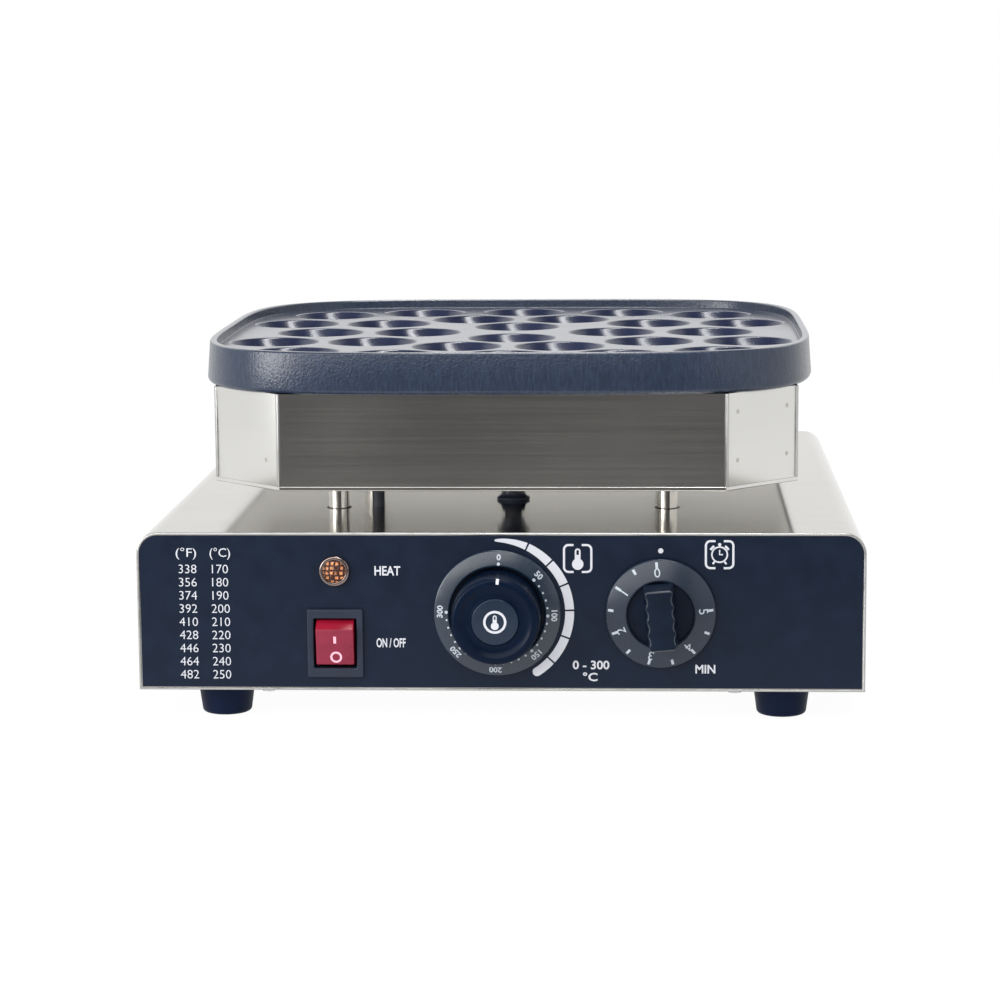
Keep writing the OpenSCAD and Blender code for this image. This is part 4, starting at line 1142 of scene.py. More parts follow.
@dataclass
class Head:
    """Chamfered steel box under the plate."""

    chamfer: float = 35 * MM
    plate_t: float = 1.2 * MM
    proud: float = 0.25 * MM
    strip_w: float = 1.7 * MM
    strip_proud: float = 0.6 * MM
    strip_soft: float = 0.3 * MM
    shade_seam_w: float = 0.5 * MM
    lip_h: float = 2.0 * MM
    lip_proud: float = 0.4 * MM
    lip_inside: float = 1.5 * MM
    lip_round: float = 0.5 * MM
    lip_top_round: float = 0.2 * MM
    weld_r: float = 1.1 * MM
    weld_depth: float = 0.1 * MM
    weld_dip: float = 0.3
    weld_crest: float = 0.6
    weld_x: float = 17 * MM
    lone_weld_x: float = 15 * MM
    weld_above_foot: float = 12 * MM
    weld_below_top: float = 9 * MM
    PLATE, STRIP, SEAM = range(3)

    def build(self) -> None:
        """Make the corner plates, the lip under the walls and the weld marks."""
        for corner in Corner:
            self.corner_plate(corner)
        self.lip()
        self.weld_marks()

    def chamfer_place(self, corner: Corner) -> Matrix:
        """Place on a chamfer, in its middle at the table's height.

        Args:
            corner: The corner.

        Returns:
            The matrix of the place, with local z out of the chamfer.
        """
        low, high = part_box(f"head_corner_{corner.label}")
        side = math.copysign(1.0, corner.turn)
        end = -1.0 if abs(corner.turn) < 90 else 1.0
        edge = Vector((high.x if side > 0 else low.x, high.y if end > 0 else low.y, 0.0))
        return facing(edge - Vector((side, end, 0.0)) * self.chamfer / 2, corner.turn)

    def corner_plate(self, corner: Corner) -> None:
        """Plate over a chamfer, with a raised bright strip along both upright edges, and beyond it a dark
        strip of painted shade where the plate meets the wall.

        Args:
            corner: The corner.
        """
        node = f"head_corner_{corner.label}"
        low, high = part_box(node)
        place = self.chamfer_place(corner)
        wide = self.chamfer * math.sqrt(2)
        tall = high.z - low.z
        level = (low.z + high.z) / 2
        sunk = self.plate_t / 2
        piece = Piece(f"corner_plate_{corner.label}", Body.CHASSIS, "head_steel",
                      CORNER_STEEL, HEM_STEEL, SHADE_SEAM_STEEL)
        piece.slab((wide, tall, self.plate_t), place @ at(0.0, level, self.proud - sunk), self.PLATE)
        for side in (-1, 1):
            strip = at(side * (wide - self.strip_w) / 2, level, self.strip_proud - sunk)
            piece.slab((self.strip_w, tall, self.plate_t), place @ strip, self.STRIP, self.strip_soft)
            # Dark strip of painted shade, standing for the shadow in the joint beside the wall
            shade_seam = at(side * (wide + self.shade_seam_w / 2) / 2, level, self.proud - sunk)
            piece.slab((self.shade_seam_w, tall, self.plate_t), place @ shade_seam, self.SEAM)
        piece.done(node, sharp=40.0)

    def lip(self) -> None:
        """Rounded lip round the foot of the walls."""
        low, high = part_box("head_bottom")
        half = (high - low) / 2
        spot = middle("head_bottom")
        apothem = self.chamfer * (1 + math.sqrt(0.5))
        reach, soft, top = self.lip_proud, self.lip_round, self.lip_top_round
        profile = [(-self.lip_inside, 0.0), *arc((reach - soft, soft), soft, 270, 360, 4),
                   *arc((reach - top, self.lip_h - top), top, 0, 90, 3), (-self.lip_inside, self.lip_h)]
        sections = [Section(half.x + out, half.y + out, apothem + out, low.z + up)
                    for out, up in [*profile, profile[0]]]
        piece = Piece("head_lip", Body.CHASSIS, "head_steel", HEAD_STEEL)
        piece.loft(sections, at(spot.x, spot.y), count=8, caps=(False, False))
        piece.done(sharp=10.0)

    def weld_marks(self) -> None:
        """Shallow spot-weld marks near the strips of the front corner plates."""
        piece = Piece("spot_weld_marks", Body.CHASSIS, "head_steel", WELD_STEEL)
        rise = self.weld_depth
        profile = [(0.0, self.weld_dip * rise), (self.weld_crest * self.weld_r, rise),
                   (self.weld_r, 0.0), (self.weld_r, -rise)]
        low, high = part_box("head_corner_front_right")
        rows = (low.z + self.weld_above_foot, high.z - self.weld_below_top)
        spots = [(Corner.FRONT_RIGHT, x, z) for x in (-self.weld_x, self.weld_x) for z in rows]
        for corner, x, z in [*spots, (Corner.FRONT_LEFT, self.lone_weld_x, rows[0])]:
            piece.spun(profile, self.chamfer_place(corner) @ at(x, z, self.proud), 20)
        piece.done()


@dataclass
class Housing:
    """Base of folded sheet, on rubber feet, with rubber bushes in its top."""

    hem_r: float = 0.7 * MM
    bend_r: float = 10 * MM
    foot_taper: float = 1.75 * MM
    foot_edge: float = 2.0 * MM
    foot_brim_h: float = 0.6 * MM
    foot_brim_in: float = 0.4 * MM
    foot_recess_r: float = 6 * MM
    foot_recess: float = 8 * MM
    washer_r: float = 6.2 * MM
    washer_h: float = 0.2 * MM
    bush_neck: float = 5.7 * MM
    bush_bore: float = 4.3 * MM
    bush_lip: float = 1.5 * MM
    bush_shoulder: float = 0.4 * MM
    bush_end_h: float = 0.5 * MM
    bush_end_in: float = 0.3 * MM
    flange_round: float = 0.5 * MM
    flange_level: float = 0.8 * MM

    def build(self) -> None:
        """Make the hem round the panel, the feet, the dark rings of painted shade at the posts' feet and the
        two bushes.
        """
        self.hem()
        for corner in Corner:
            self.foot(f"rubber_foot_{corner.label}")
        self.painted_shade_washers()
        for bush in Bush:
            self.bush(*bush.value)

    def hem(self) -> None:
        """Rounded fold of the sheet that frames the overlay."""
        low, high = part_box("front_panel")
        half = high.x - self.hem_r
        top = high.z - self.hem_r
        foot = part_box("bottom_plate")[0].z + self.hem_r
        radius = self.bend_r - self.hem_r
        outline = [(-half, foot), *arc((radius - half, top - radius), radius, 180, 90, 12),
                   *arc((half - radius, top - radius), radius, 90, 0, 12), (half, foot)]
        piece = Piece("panel_hem", Body.CHASSIS, "base_steel", HEM_STEEL)
        piece.swept([(x, low.y, z) for x, z in outline], self.hem_r, Matrix.Identity(4), True)
        piece.done(sharp=60.0)

    def foot(self, node: str) -> None:
        """Tapered rubber foot with a rounded lower edge and a screw recess.

        Args:
            node: Solid that it stands for.
        """
        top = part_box(node)[1].z
        top_r = half_width(node)
        low_r = top_r - self.foot_taper
        edge = self.foot_edge
        recess_r, recess = self.foot_recess_r, self.foot_recess
        profile = [(0.0, recess), (recess_r, recess), (recess_r, 0.0),
                   *arc((low_r - edge, edge), edge, 270, 355, 7),
                   (top_r, top - self.foot_brim_h), (top_r - self.foot_brim_in, top), (0.0, top)]
        piece = Piece(f"moulded_{node}", Body.CHASSIS, "foot_rubber", FOOT_RUBBER)
        piece.spun(profile, at(middle(node).x, middle(node).y), 72)
        piece.done(node, sharp=40.0)

    def painted_shade_washers(self) -> None:
        """Thin dark washer round the foot of each post, which paints the shade where the post meets the
        base.
        """
        # The washers are dark to paint the shade where each post meets the base
        piece = Piece("post_foot_shade_rings", Body.CHASSIS, "post_steel", HEAT_TINT_AND_SHADE_STEEL)
        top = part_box("base_cover")[1].z
        for corner in Corner:
            post = f"support_post_{corner.label}"
            bore = half_width(post)
            profile = [(bore, 0.0), (self.washer_r, 0.0), (self.washer_r - self.washer_h, self.washer_h),
                       (bore, self.washer_h)]
            piece.spun(profile, at(middle(post).x, middle(post).y, top), 40, ring=True)
        piece.done()

    def bush(self, label: str, up: int) -> None:
        """Rubber bush that draws in from its flange to a slim neck.

        Args:
            label: Which one it is.
            up: 1 where it stands on the base, -1 where it hangs under the head.
        """
        node = f"{label}_grommet"
        low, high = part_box(node)
        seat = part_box("base_cover")[1].z if up > 0 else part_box("head_bottom")[0].z
        reach = (high.z - seat) if up > 0 else (seat - low.z)
        flange, neck, lip = half_width(node), self.bush_neck, self.bush_lip
        shoulder = flange - self.bush_shoulder
        rise = reach - lip - self.bush_end_h
        waist = [(shoulder - (shoulder - neck) * along, lip + rise * (1 - across))
                 for across, along in arc((0.0, 0.0), 1.0, 0, 90, 8)]
        profile = [(self.bush_bore, 0.0), (flange - self.bush_end_in, 0.0),
                   *arc((flange - self.flange_round, self.flange_level), self.flange_round, -60, 70, 5),
                   *waist, (neck - self.bush_end_in, reach), (self.bush_bore, reach)]
        spot = middle(node)
        place = at(spot.x, spot.y, seat) @ Matrix.Scale(up, 4, (0, 0, 1))
        piece = Piece(f"rubber_bush_{label}", Body.CHASSIS, "grommet_rubber", BUSH_RUBBER)
        piece.spun(profile, place, 64, ring=True)
        piece.done(node, sharp=40.0)


@dataclass(frozen=True)
class Cone:
    """Sloping face of a dial, which its print lies on: its outer radius, height there and slope."""

    place: Matrix
    radius: float
    height: float
    slope: float

    def spot(self, angle: float, radius: float, lift: float = INK) -> Matrix:
        """Place on the face, with local y outwards.

        Args:
            angle: Clockwise angle from the top, in degrees.
            radius: Distance from the dial's axis.
            lift: Distance above the face.

        Returns:
            The matrix from the local frame to the object's frame.
        """
        rise = self.height + (self.radius - radius) * math.tan(self.slope) + lift
        return self.place @ around(angle) @ at(0.0, radius, rise) @ Matrix.Rotation(-self.slope, 4, "X")


@dataclass
class ThermometerSign:
    """Plain thermometer: a bulb and a stem with an open tip, in shares of the height and of the stem."""

    height: float
    bulb: float = 0.25
    stem: float = 0.09
    foot: float = -0.2
    level: float = 0.16
    wall_w: float = 0.8
    fill_w: float = 1.6

    def print_on(self, piece: Piece, place: Matrix) -> None:
        """Print the sign.

        Args:
            piece: Piece that takes the sign.
            place: Matrix of its middle.
        """
        bulb, stem = self.bulb * self.height, self.stem * self.height
        foot, level = self.foot * self.height, self.level * self.height
        bend = self.height / 2 - 2 * stem
        piece.disc(bulb, place @ at(0.0, bulb - self.height / 2))
        walls = [(-stem, foot), (-stem, bend), *arc((0.0, bend), stem, 180, 0, 8), (stem, foot)]
        piece.stroke(walls, self.wall_w * stem, place)
        piece.stroke([(0.0, foot), (0.0, level)], self.fill_w * stem, place)


@dataclass
class ClockSign:
    """Alarm clock: a face with hands, two bells, two legs and a button on top."""

    face_r: float = 3.9 * MM
    line_w: float = 0.7 * MM
    hand_w: float = 0.65 * MM
    minute_hand: float = 2.2 * MM
    hour_hand: float = 1.5 * MM
    button_r: float = 0.75 * MM
    button_out: float = 0.8 * MM
    bell_w: float = 1.1 * MM
    bell_out: float = 0.75 * MM
    bell_span: Point = (28.0, 58.0)
    leg_w: float = 0.9 * MM
    leg_top: Point = (2.3 * MM, -3.3 * MM)
    leg_foot: Point = (3.1 * MM, -4.4 * MM)

    def print_on(self, piece: Piece, place: Matrix) -> None:
        """Print the sign.

        Args:
            piece: Piece that takes the sign.
            place: Matrix of its middle.
        """
        piece.ring(self.face_r, self.line_w, place)
        piece.stroke([(0.0, self.minute_hand), (0.0, 0.0), (self.hour_hand, 0.0)], self.hand_w, place)
        piece.disc(self.button_r, place @ at(0.0, self.face_r + self.button_out))
        bell = arc((0.0, 0.0), self.face_r + self.bell_out, *self.bell_span, 5)
        for side in (-1, 1):
            for path, width in ((bell, self.bell_w), ((self.leg_top, self.leg_foot), self.leg_w)):
                piece.stroke([(side * x, y) for x, y in path], width, place)


@dataclass
class TemperatureDial:
    """Fixed ring with its printed scale, and the round knob inside it."""

    ring_edge: float = 0.9 * MM
    ring_low: float = 2.6 * MM
    ring_high: float = 4.6 * MM
    inner_r: float = 21.95 * MM
    numeral_r: float = 26.5 * MM
    numeral_h: float = 3.0 * MM
    numeral_lift: float = 1.4 * INK
    marks: int = 7
    mark_worth: int = 50
    mark_turn: float = 45.0
    zero_turn: float = 2.0
    dot_r: float = 23.5 * MM
    dot_size: float = 0.75 * MM
    small_dot: float = 0.5 * MM
    steps_per_mark: int = 5
    back_in: float = 0.3 * MM
    back_h: float = 0.4 * MM
    wall_draft: float = 0.5 * MM
    knob_round: float = 2.0 * MM
    crest_r: float = 1.6 * MM
    crest_in: float = 1.2 * MM
    dish: float = 1.2 * MM
    dish_slope: float = 0.75
    dish_slope_r: float = 16.0 * MM
    dish_floor_r: float = 13.4 * MM
    boss_r: float = 10.7 * MM
    boss_foot: float = 0.9 * MM
    boss_fillet: float = 0.5 * MM
    boss_round: float = 0.6 * MM
    pointer: Triple = (1.4 * MM, 2.7 * MM, 0.5 * MM)
    pointer_turn: float = 4.0
    pointer_in: float = 0.75
    pointer_sunk: float = 0.15 * MM
    pointer_tilt: float = 25.0
    circle_r: float = 5.3 * MM
    circle_w: float = 1.1 * MM
    sign_h: float = 7.2 * MM
    BODY, BOSS = range(2)

    def build(self) -> None:
        """Make the ring, its scale, the knob and the knob's marks."""
        place = panel_spot("temperature_dial_ring")
        outer_r = half_width("temperature_dial_ring")
        slope = math.atan2(self.ring_high - self.ring_low, outer_r - self.inner_r - 2 * self.ring_edge)
        self.ring(place, outer_r)
        self.scale(Cone(place, outer_r - self.ring_edge, self.ring_low + INK, slope))
        self.knob(place)
        self.knob_marks(place)

    def ring(self, place: Matrix, outer_r: float) -> None:
        """Fixed ring with a sloping face and soft edges.

        Args:
            place: Matrix of the dial's middle.
            outer_r: Outer radius of the ring.
        """
        edge = self.ring_edge
        profile = [(self.inner_r, 0.0), (outer_r, 0.0),
                   *arc((outer_r - edge, self.ring_low - edge), edge, 0, 75, 5),
                   *arc((self.inner_r + edge, self.ring_high - edge), edge, 75, 180, 6)]
        piece = Piece("dial_ring", Body.CHASSIS, "dial_grey", RING_GREY)
        piece.spun(profile, place, 128, ring=True)
        piece.done("temperature_dial_ring", sharp=45.0)

    def scale(self, cone: Cone) -> None:
        """Printed numbers and dots of the temperature scale.

        Args:
            cone: Face of the ring.
        """
        piece = Piece("dial_scale", Body.CHASSIS, "dial_grey", DIAL_INK)
        for count in range(self.marks):
            angle = self.zero_turn + self.mark_turn * count
            numeral = word(str(self.mark_worth * count), self.numeral_h)
            piece.take(numeral, cone.spot(angle, self.numeral_r, self.numeral_lift))
            piece.disc(self.dot_size, cone.spot(angle, self.dot_r))
            for small in range(1, self.steps_per_mark) if 0 < count < self.marks - 1 else ():
                turn = angle + self.mark_turn * small / self.steps_per_mark
                piece.disc(self.small_dot, cone.spot(turn, self.dot_r))
        piece.done()

    def knob(self, place: Matrix) -> None:
        """Round knob with a soft front edge, a dished face and a raised boss, whose lighter copy of the
        black plastic is painted light.

        Args:
            place: Matrix of the dial's middle.
        """
        wall = half_width("temperature_knob")
        back, front = panel_reach("temperature_knob")
        soft = self.knob_round
        rim = wall - self.wall_draft - soft
        floor = front - self.dish
        boss_foot = self.boss_r + self.boss_foot
        boss_top = (self.boss_r - self.boss_round, front - self.boss_round)
        profile = [(0.0, back), (wall - self.back_in, back), (wall, back + self.back_h),
                   *arc((rim, front - soft), soft, 4, 90, 8),
                   *arc((rim - self.crest_in, front - self.crest_r), self.crest_r, 80, 100, 3),
                   (self.dish_slope_r, front - self.dish_slope * self.dish), (self.dish_floor_r, floor),
                   (boss_foot, floor),
                   *arc((boss_foot, floor + self.boss_fillet), self.boss_fillet, 270, 200, 3),
                   *arc(boss_top, self.boss_round, 10, 90, 5),
                   (0.0, front)]
        piece = Piece("round_temperature_knob", Body.DIAL, "knob_black", KNOB_BLACK, BOSS_BLACK)
        home = place.inverted()
        for face in piece.spun(profile, place, 128, self.BODY):
            spot = home @ face.calc_center_median()
            # The boss takes the lighter copy of the black: painted light on its raised face
            if spot.xy.length < self.boss_r and spot.z > floor:
                face.material_index = self.BOSS
        piece.done("temperature_knob", sharp=45.0)

    def knob_marks(self, place: Matrix) -> None:
        """Pointer on the knob's edge, and the sign on its boss.

        Args:
            place: Matrix of the dial's middle.
        """
        front = panel_reach("temperature_knob")[1]
        edge = half_width("temperature_knob") - self.wall_draft
        piece = Piece("knob_marks", Body.DIAL, "knob_black", WHITE_INK)
        tilt = Matrix.Rotation(-self.pointer_tilt * DEGREE, 4, "X")
        bar = at(0.0, edge - self.pointer_in * self.knob_round, front - self.pointer_sunk) @ tilt
        piece.slab(self.pointer, place @ around(self.pointer_turn) @ bar)
        face = place @ at(z=front)
        piece.ring(self.circle_r, self.circle_w, face)
        ThermometerSign(self.sign_h).print_on(piece, face)
        piece.done()


@dataclass
class TimerDial:
    """Timer knob: a conical skirt with its scale and a wavy grip across it."""

    skirt_top: float = 6.6 * MM
    skirt_rim: float = 3.4 * MM
    skirt_edge: float = 1.0 * MM
    crest_out: float = 1.0 * MM
    crest_round: float = 0.8 * MM
    back_in: float = 0.3 * MM
    finger_r: float = 15.2 * MM
    finger_floor: float = 4.2 * MM
    grip_l: float = 28.0 * MM
    grip_w: float = 12.2 * MM
    grip_foot: float = 14.4 * MM
    grip_flare: float = 1.05
    grip_soft: float = 1.1 * MM
    grip_sunk: float = 0.4 * MM
    grip_cuts: int = 44
    crown_slope: float = 0.9
    long_share: float = 0.6
    wave: float = 0.35 * MM
    waves: float = 4.5
    flank_share: float = 0.45
    flank_fade: int = 16
    end_fade: int = 8
    highlight_slopes: Point = (0.4, 0.85)
    zero_turn: float = -4.7
    unit_turn: float = -54.0
    units: int = 5
    numeral_r: float = 19.7 * MM
    numeral_h: float = 4.4 * MM
    numeral_lift: float = 1.6 * INK
    tick_w: float = 1.2 * MM
    tick_l: float = 3.0 * MM
    half_tick_l: float = 2.7 * MM
    tick_in: float = 0.1 * MM
    tick_lift: float = 0.8 * INK
    tick_soft: float = 0.02 * MM
    SKIRT, GRIP, WORN = range(3)

    def build(self) -> None:
        """Make the skirt, the grip and the printed scale."""
        place = panel_spot("timer_knob")
        wall = half_width("timer_knob")
        back, front = panel_reach("timer_knob")
        crest = self.finger_r + self.crest_out
        rim = wall - self.skirt_edge
        slope = math.atan2(self.skirt_top - self.skirt_rim, rim - crest)
        piece = Piece("timer_grip_knob", Body.TIMER, "dial_grey", DIAL_GREY, GRIP_BLACK, WORN_EDGE)
        tilt = 90 - slope / DEGREE
        piece.spun([(self.finger_r, self.finger_floor),
                    *arc((crest, self.skirt_top - self.crest_round), self.crest_round, 172, tilt, 5),
                    *arc((rim, self.skirt_rim - self.skirt_edge), self.skirt_edge, tilt, 0, 6),
                    (wall, back + self.back_in), (wall - self.back_in, back), (0.0, back)],
                   place, 128, self.SKIRT)
        piece.spun([(0.0, self.finger_floor), (self.finger_r, self.finger_floor)], place, 128, self.GRIP)
        self.grip(piece, place @ around(self.zero_turn), front)
        piece.done("timer_knob", sharp=42.0)
        self.scale(Cone(place, rim, self.skirt_rim, slope))

    def grip(self, piece: Piece, place: Matrix, front: float) -> None:
        """Grip with wavy flanks, whose rounded front edges carry a paler painted highlight.

        Args:
            piece: The knob.
            place: Matrix of the grip's place, turned to its zero.
            front: Height of the grip's top.
        """
        bm = piece.bm
        before = set(bm.faces)
        verts = bmesh.ops.create_cube(bm, size=1.0)["verts"]
        floor = self.finger_floor - self.grip_sunk
        tall = front - floor
        bmesh.ops.scale(bm, vec=(self.grip_w, self.grip_l, tall), verts=verts)
        bmesh.ops.translate(bm, vec=(0, 0, floor + tall / 2), verts=verts)
        foot = [v for v in verts if v.co.z < floor + tall / 2]
        bmesh.ops.scale(bm, vec=(self.grip_foot / self.grip_w, self.grip_flare, 1.0), verts=foot)
        new = piece.since(before)
        crown = [e for f in new if f.normal.z > self.crown_slope for e in f.edges]
        ends = [e for f in new for e in f.edges if abs(e.verts[0].co.z - e.verts[1].co.z) > tall / 2]
        soften(bm, list(set(crown + ends)), self.grip_soft, 4)
        long_edges = {e for f in piece.since(before) for e in f.edges
                      if abs(e.verts[0].co.y - e.verts[1].co.y) > self.long_share * self.grip_l}
        bmesh.ops.subdivide_edges(bm, edges=list(long_edges), cuts=self.grip_cuts, use_grid_fill=True)
        for vert in {v for f in piece.since(before) for v in f.verts}:
            vert.co.x += math.copysign(1.0, vert.co.x) * self.wave_at(vert.co)
        home = place.to_3x3().inverted()
        low, high = self.highlight_slopes
        for face in piece.settle(before, place, self.GRIP):
            # Faces that slope between the two limits get the pale painted highlight
            if low < (home @ face.normal).z < high:
                face.material_index = self.WORN

    def wave_at(self, spot: Vector) -> float:
        """How far a point of the grip stands out, which fades off the flanks and towards the ends.

        Args:
            spot: The point, in the grip's own frame.

        Returns:
            The distance outwards, or inwards where it is negative.
        """
        phase = FULL_TURN * self.waves * spot.y / self.grip_l
        edge_share = min(1.0, abs(spot.x) / (self.flank_share * self.grip_w)) ** self.flank_fade
        end_share = max(0.0, 1.0 - (2 * abs(spot.y) / self.grip_l) ** self.end_fade)
        return self.wave * math.cos(phase) * edge_share * end_share

    def scale(self, cone: Cone) -> None:
        """Printed ticks and numbers of the timer scale.

        Args:
            cone: Face of the skirt.
        """
        piece = Piece("timer_scale", Body.TIMER, "dial_grey", DIAL_INK)
        for half in range(2 * self.units + 1):
            angle = self.zero_turn + self.unit_turn * half / 2
            whole = half % 2 == 0
            length = self.tick_l if whole else self.half_tick_l
            tick = cone.spot(angle, cone.radius - self.tick_in - length / 2, self.tick_lift)
            piece.slab((self.tick_w, length, 2 * INK), tick, soft=self.tick_soft)
            if whole:
                numeral = word(str(half // 2), self.numeral_h, weight=0.0)
                piece.take(numeral, cone.spot(angle, self.numeral_r, self.numeral_lift))
        piece.done()


@dataclass
class PowerSwitch:
    """Rocker switch in its bezel."""

    lip: float = 2.0 * MM
    corner: float = 0.9 * MM
    soft: float = 0.5 * MM
    body_in: float = 2.0 * MM
    body_corner: float = 0.4 * MM
    opening: Point = (20.0 * MM, 23.5 * MM)
    opening_corner: float = 0.6 * MM
    well: float = 18.0 * MM
    pivot_depth: float = 4.0 * MM
    half_travel: float = 10.0
    rocker_w: float = 17.6 * MM
    face_half: float = 8.55 * MM
    base_half: float = 11.35 * MM
    face_out: float = 8.0 * MM
    base_out: float = 2.0 * MM
    flank: float = 1.0 * MM
    tail: float = 3.0 * MM
    rosy_slope: float = 0.75
    bar_x: float = 0.1 * MM
    bar_span: Point = (1.9 * MM, 5.3 * MM)
    bar_w: float = 1.25 * MM
    circle_r: float = 2.75 * MM
    circle_w: float = 0.95 * MM
    circle_spot: Point = (0.5 * MM, -4.9 * MM)
    RED, ROSE = range(2)

    def build(self) -> None:
        """Make the bezel, the rocker and its signs."""
        place = panel_spot("switch_housing")
        self.bezel(place)
        tip = at(z=-self.pivot_depth) @ Matrix.Rotation(self.half_travel * DEGREE, 4, "X")
        self.rocker(place @ tip)
        self.signs(place @ tip @ at(z=self.face_out))

    def bezel(self, place: Matrix) -> None:
        """Housing with a soft-edged lip on the panel and a well for the rocker.

        Args:
            place: Matrix of the switch's middle.
        """
        low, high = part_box("switch_housing")
        half = Vector(((high.x - low.x) / 2, (high.z - low.z) / 2))
        body = half - Vector((self.body_in, self.body_in))
        inner = Vector(self.opening) / 2
        soft = self.soft
        outside = [(-inset, z) for inset, z in arc((soft, self.lip - soft), soft, 180, 90, 4)]
        inside = [(soft + out, z) for out, z in arc((0.0, self.lip - soft), soft, 90, 180, 4)]
        back = panel_reach("switch_housing")[0]
        loops = [*[(body, self.body_corner, 0.0, z) for z in (back, 0.0)],
                 (half, self.corner, 0.0, 0.0),
                 *[(half, self.corner, out, z) for out, z in outside],
                 *[(inner, self.opening_corner, out, z) for out, z in inside],
                 (inner, self.opening_corner, 0.0, -self.well)]
        piece = Piece("switch_bezel", Body.CHASSIS, "black_plastic", BEZEL_PLASTIC)
        piece.loft([Section(size.x + out, size.y + out, corner, z) for size, corner, out, z in loops],
                   place, count=32)
        piece.done("switch_housing", sharp=50.0)

    def rocker(self, place: Matrix) -> None:
        """Rocker with two slanted ends, tipped to its off side.

        Args:
            place: Matrix of the rocker's pivot, turned by its tip.
        """
        piece = Piece("red_rocker", Body.ROCKER, "rocker_red", ROCKER_RED, ROCKER_ROSE)
        bm = piece.bm
        right = [(self.face_half, self.face_out), (self.base_half, self.base_out),
                 (self.base_half, -self.flank), (self.tail, -self.tail)]
        outline = [*right, *[(-y, z) for y, z in reversed(right)]]
        side = bm.faces.new([bm.verts.new((-self.rocker_w / 2, y, z)) for y, z in outline])
        made = bmesh.ops.extrude_face_region(bm, geom=[side], use_keep_orig=True)["geom"]
        far = [v for v in made if isinstance(v, BMVert)]
        bmesh.ops.translate(bm, vec=(self.rocker_w, 0, 0), verts=far)
        bmesh.ops.recalc_face_normals(bm, faces=bm.faces)
        front = [e for e in bm.edges if min(v.co.z for v in e.verts) > self.base_out - LEVEL_GAP]
        soften(bm, front, self.soft, 4)
        for face in bm.faces:
            face.material_index = self.ROSE if face.normal.z > self.rosy_slope else self.RED
        bmesh.ops.transform(bm, matrix=place, verts=bm.verts)
        piece.done("power_rocker", sharp=40.0)

    def signs(self, face: Matrix) -> None:
        """Bar and circle on the rocker's face.

        Args:
            face: Matrix of the face's middle.
        """
        piece = Piece("rocker_signs", Body.ROCKER, "rocker_red", SWITCH_INK)
        piece.stroke([(self.bar_x, y) for y in self.bar_span], self.bar_w, face)
        piece.ring(self.circle_r, self.circle_w, face @ at(*self.circle_spot))
        piece.done()


@dataclass
class PilotLight:
    """Faceted lens in a plated ring."""

    ring_h: float = 2.2 * MM
    ring_round: float = 0.9 * MM
    ring_inner_round: float = 0.4 * MM
    lens_r: float = 5.2 * MM
    lens_gap: float = 0.1 * MM
    lens_sunk: float = 0.3 * MM
    lens_foot: float = 0.1 * MM
    dome: float = 1.5 * MM
    facets: int = 6
    facet_h: float = 0.3 * MM

    def build(self) -> None:
        """Make the ring and the lens."""
        place = panel_spot("pilot_bezel")
        self.ring(place)
        self.lens(place)

    def ring(self, place: Matrix) -> None:
        """Plated ring with rounded edges.

        Args:
            place: Matrix of the light's middle.
        """
        outer = half_width("pilot_bezel")
        inner = self.lens_r + self.lens_gap
        wide, slim = self.ring_round, self.ring_inner_round
        piece = Piece("pilot_ring", Body.CHASSIS, "pilot_copper", COPPER_RING)
        piece.spun([(inner, 0.0), (outer, 0.0), *arc((outer - wide, self.ring_h - wide), wide, 0, 90, 6),
                    *arc((inner + slim, self.ring_h - slim), slim, 90, 180, 4)], place, 72, ring=True)
        piece.done("pilot_bezel", sharp=50.0)

    def lens(self, place: Matrix) -> None:
        """Domed lens cut into a field of small pyramids.

        Args:
            place: Matrix of the light's middle.
        """
        piece = Piece("faceted_lens", Body.CHASSIS, "pilot_amber", AMBER)
        bm = piece.bm
        base = self.ring_h - self.lens_sunk
        bmesh.ops.create_grid(bm, x_segments=self.facets, y_segments=self.facets, size=self.lens_r)
        diagonal = Matrix.Rotation(QUARTER_TURN / 2, 3, "Z")
        bmesh.ops.rotate(bm, cent=(0, 0, 0), matrix=diagonal, verts=bm.verts)
        for vert in bm.verts:
            square = max(abs(vert.co.x + vert.co.y), abs(vert.co.x - vert.co.y)) / math.sqrt(2)
            if vert.co.length > MERGE_GAP:
                vert.co *= square / vert.co.length
            vert.co.z = base + self.dome * (1 - (vert.co.xy.length / self.lens_r) ** 2)
        bmesh.ops.poke(bm, faces=bm.faces[:], offset=self.facet_h)
        skirt = bmesh.ops.extrude_edge_only(bm, edges=[e for e in bm.edges if e.is_boundary])["geom"]
        for vert in [v for v in skirt if isinstance(v, BMVert)]:
            vert.co.z = self.lens_foot
        bmesh.ops.edgeloop_fill(bm, edges=[e for e in bm.edges if e.is_boundary])
        bmesh.ops.recalc_face_normals(bm, faces=bm.faces)
        bmesh.ops.transform(bm, matrix=place, verts=bm.verts)
        piece.done("pilot_lens", sharp=10.0)


@dataclass(frozen=True)
class Label:
    """A printed word: its text, the place of its middle on the panel and its height and width."""

    text: str
    x: float
    z: float
    height: float
    width: float
    weight: float = 0.02


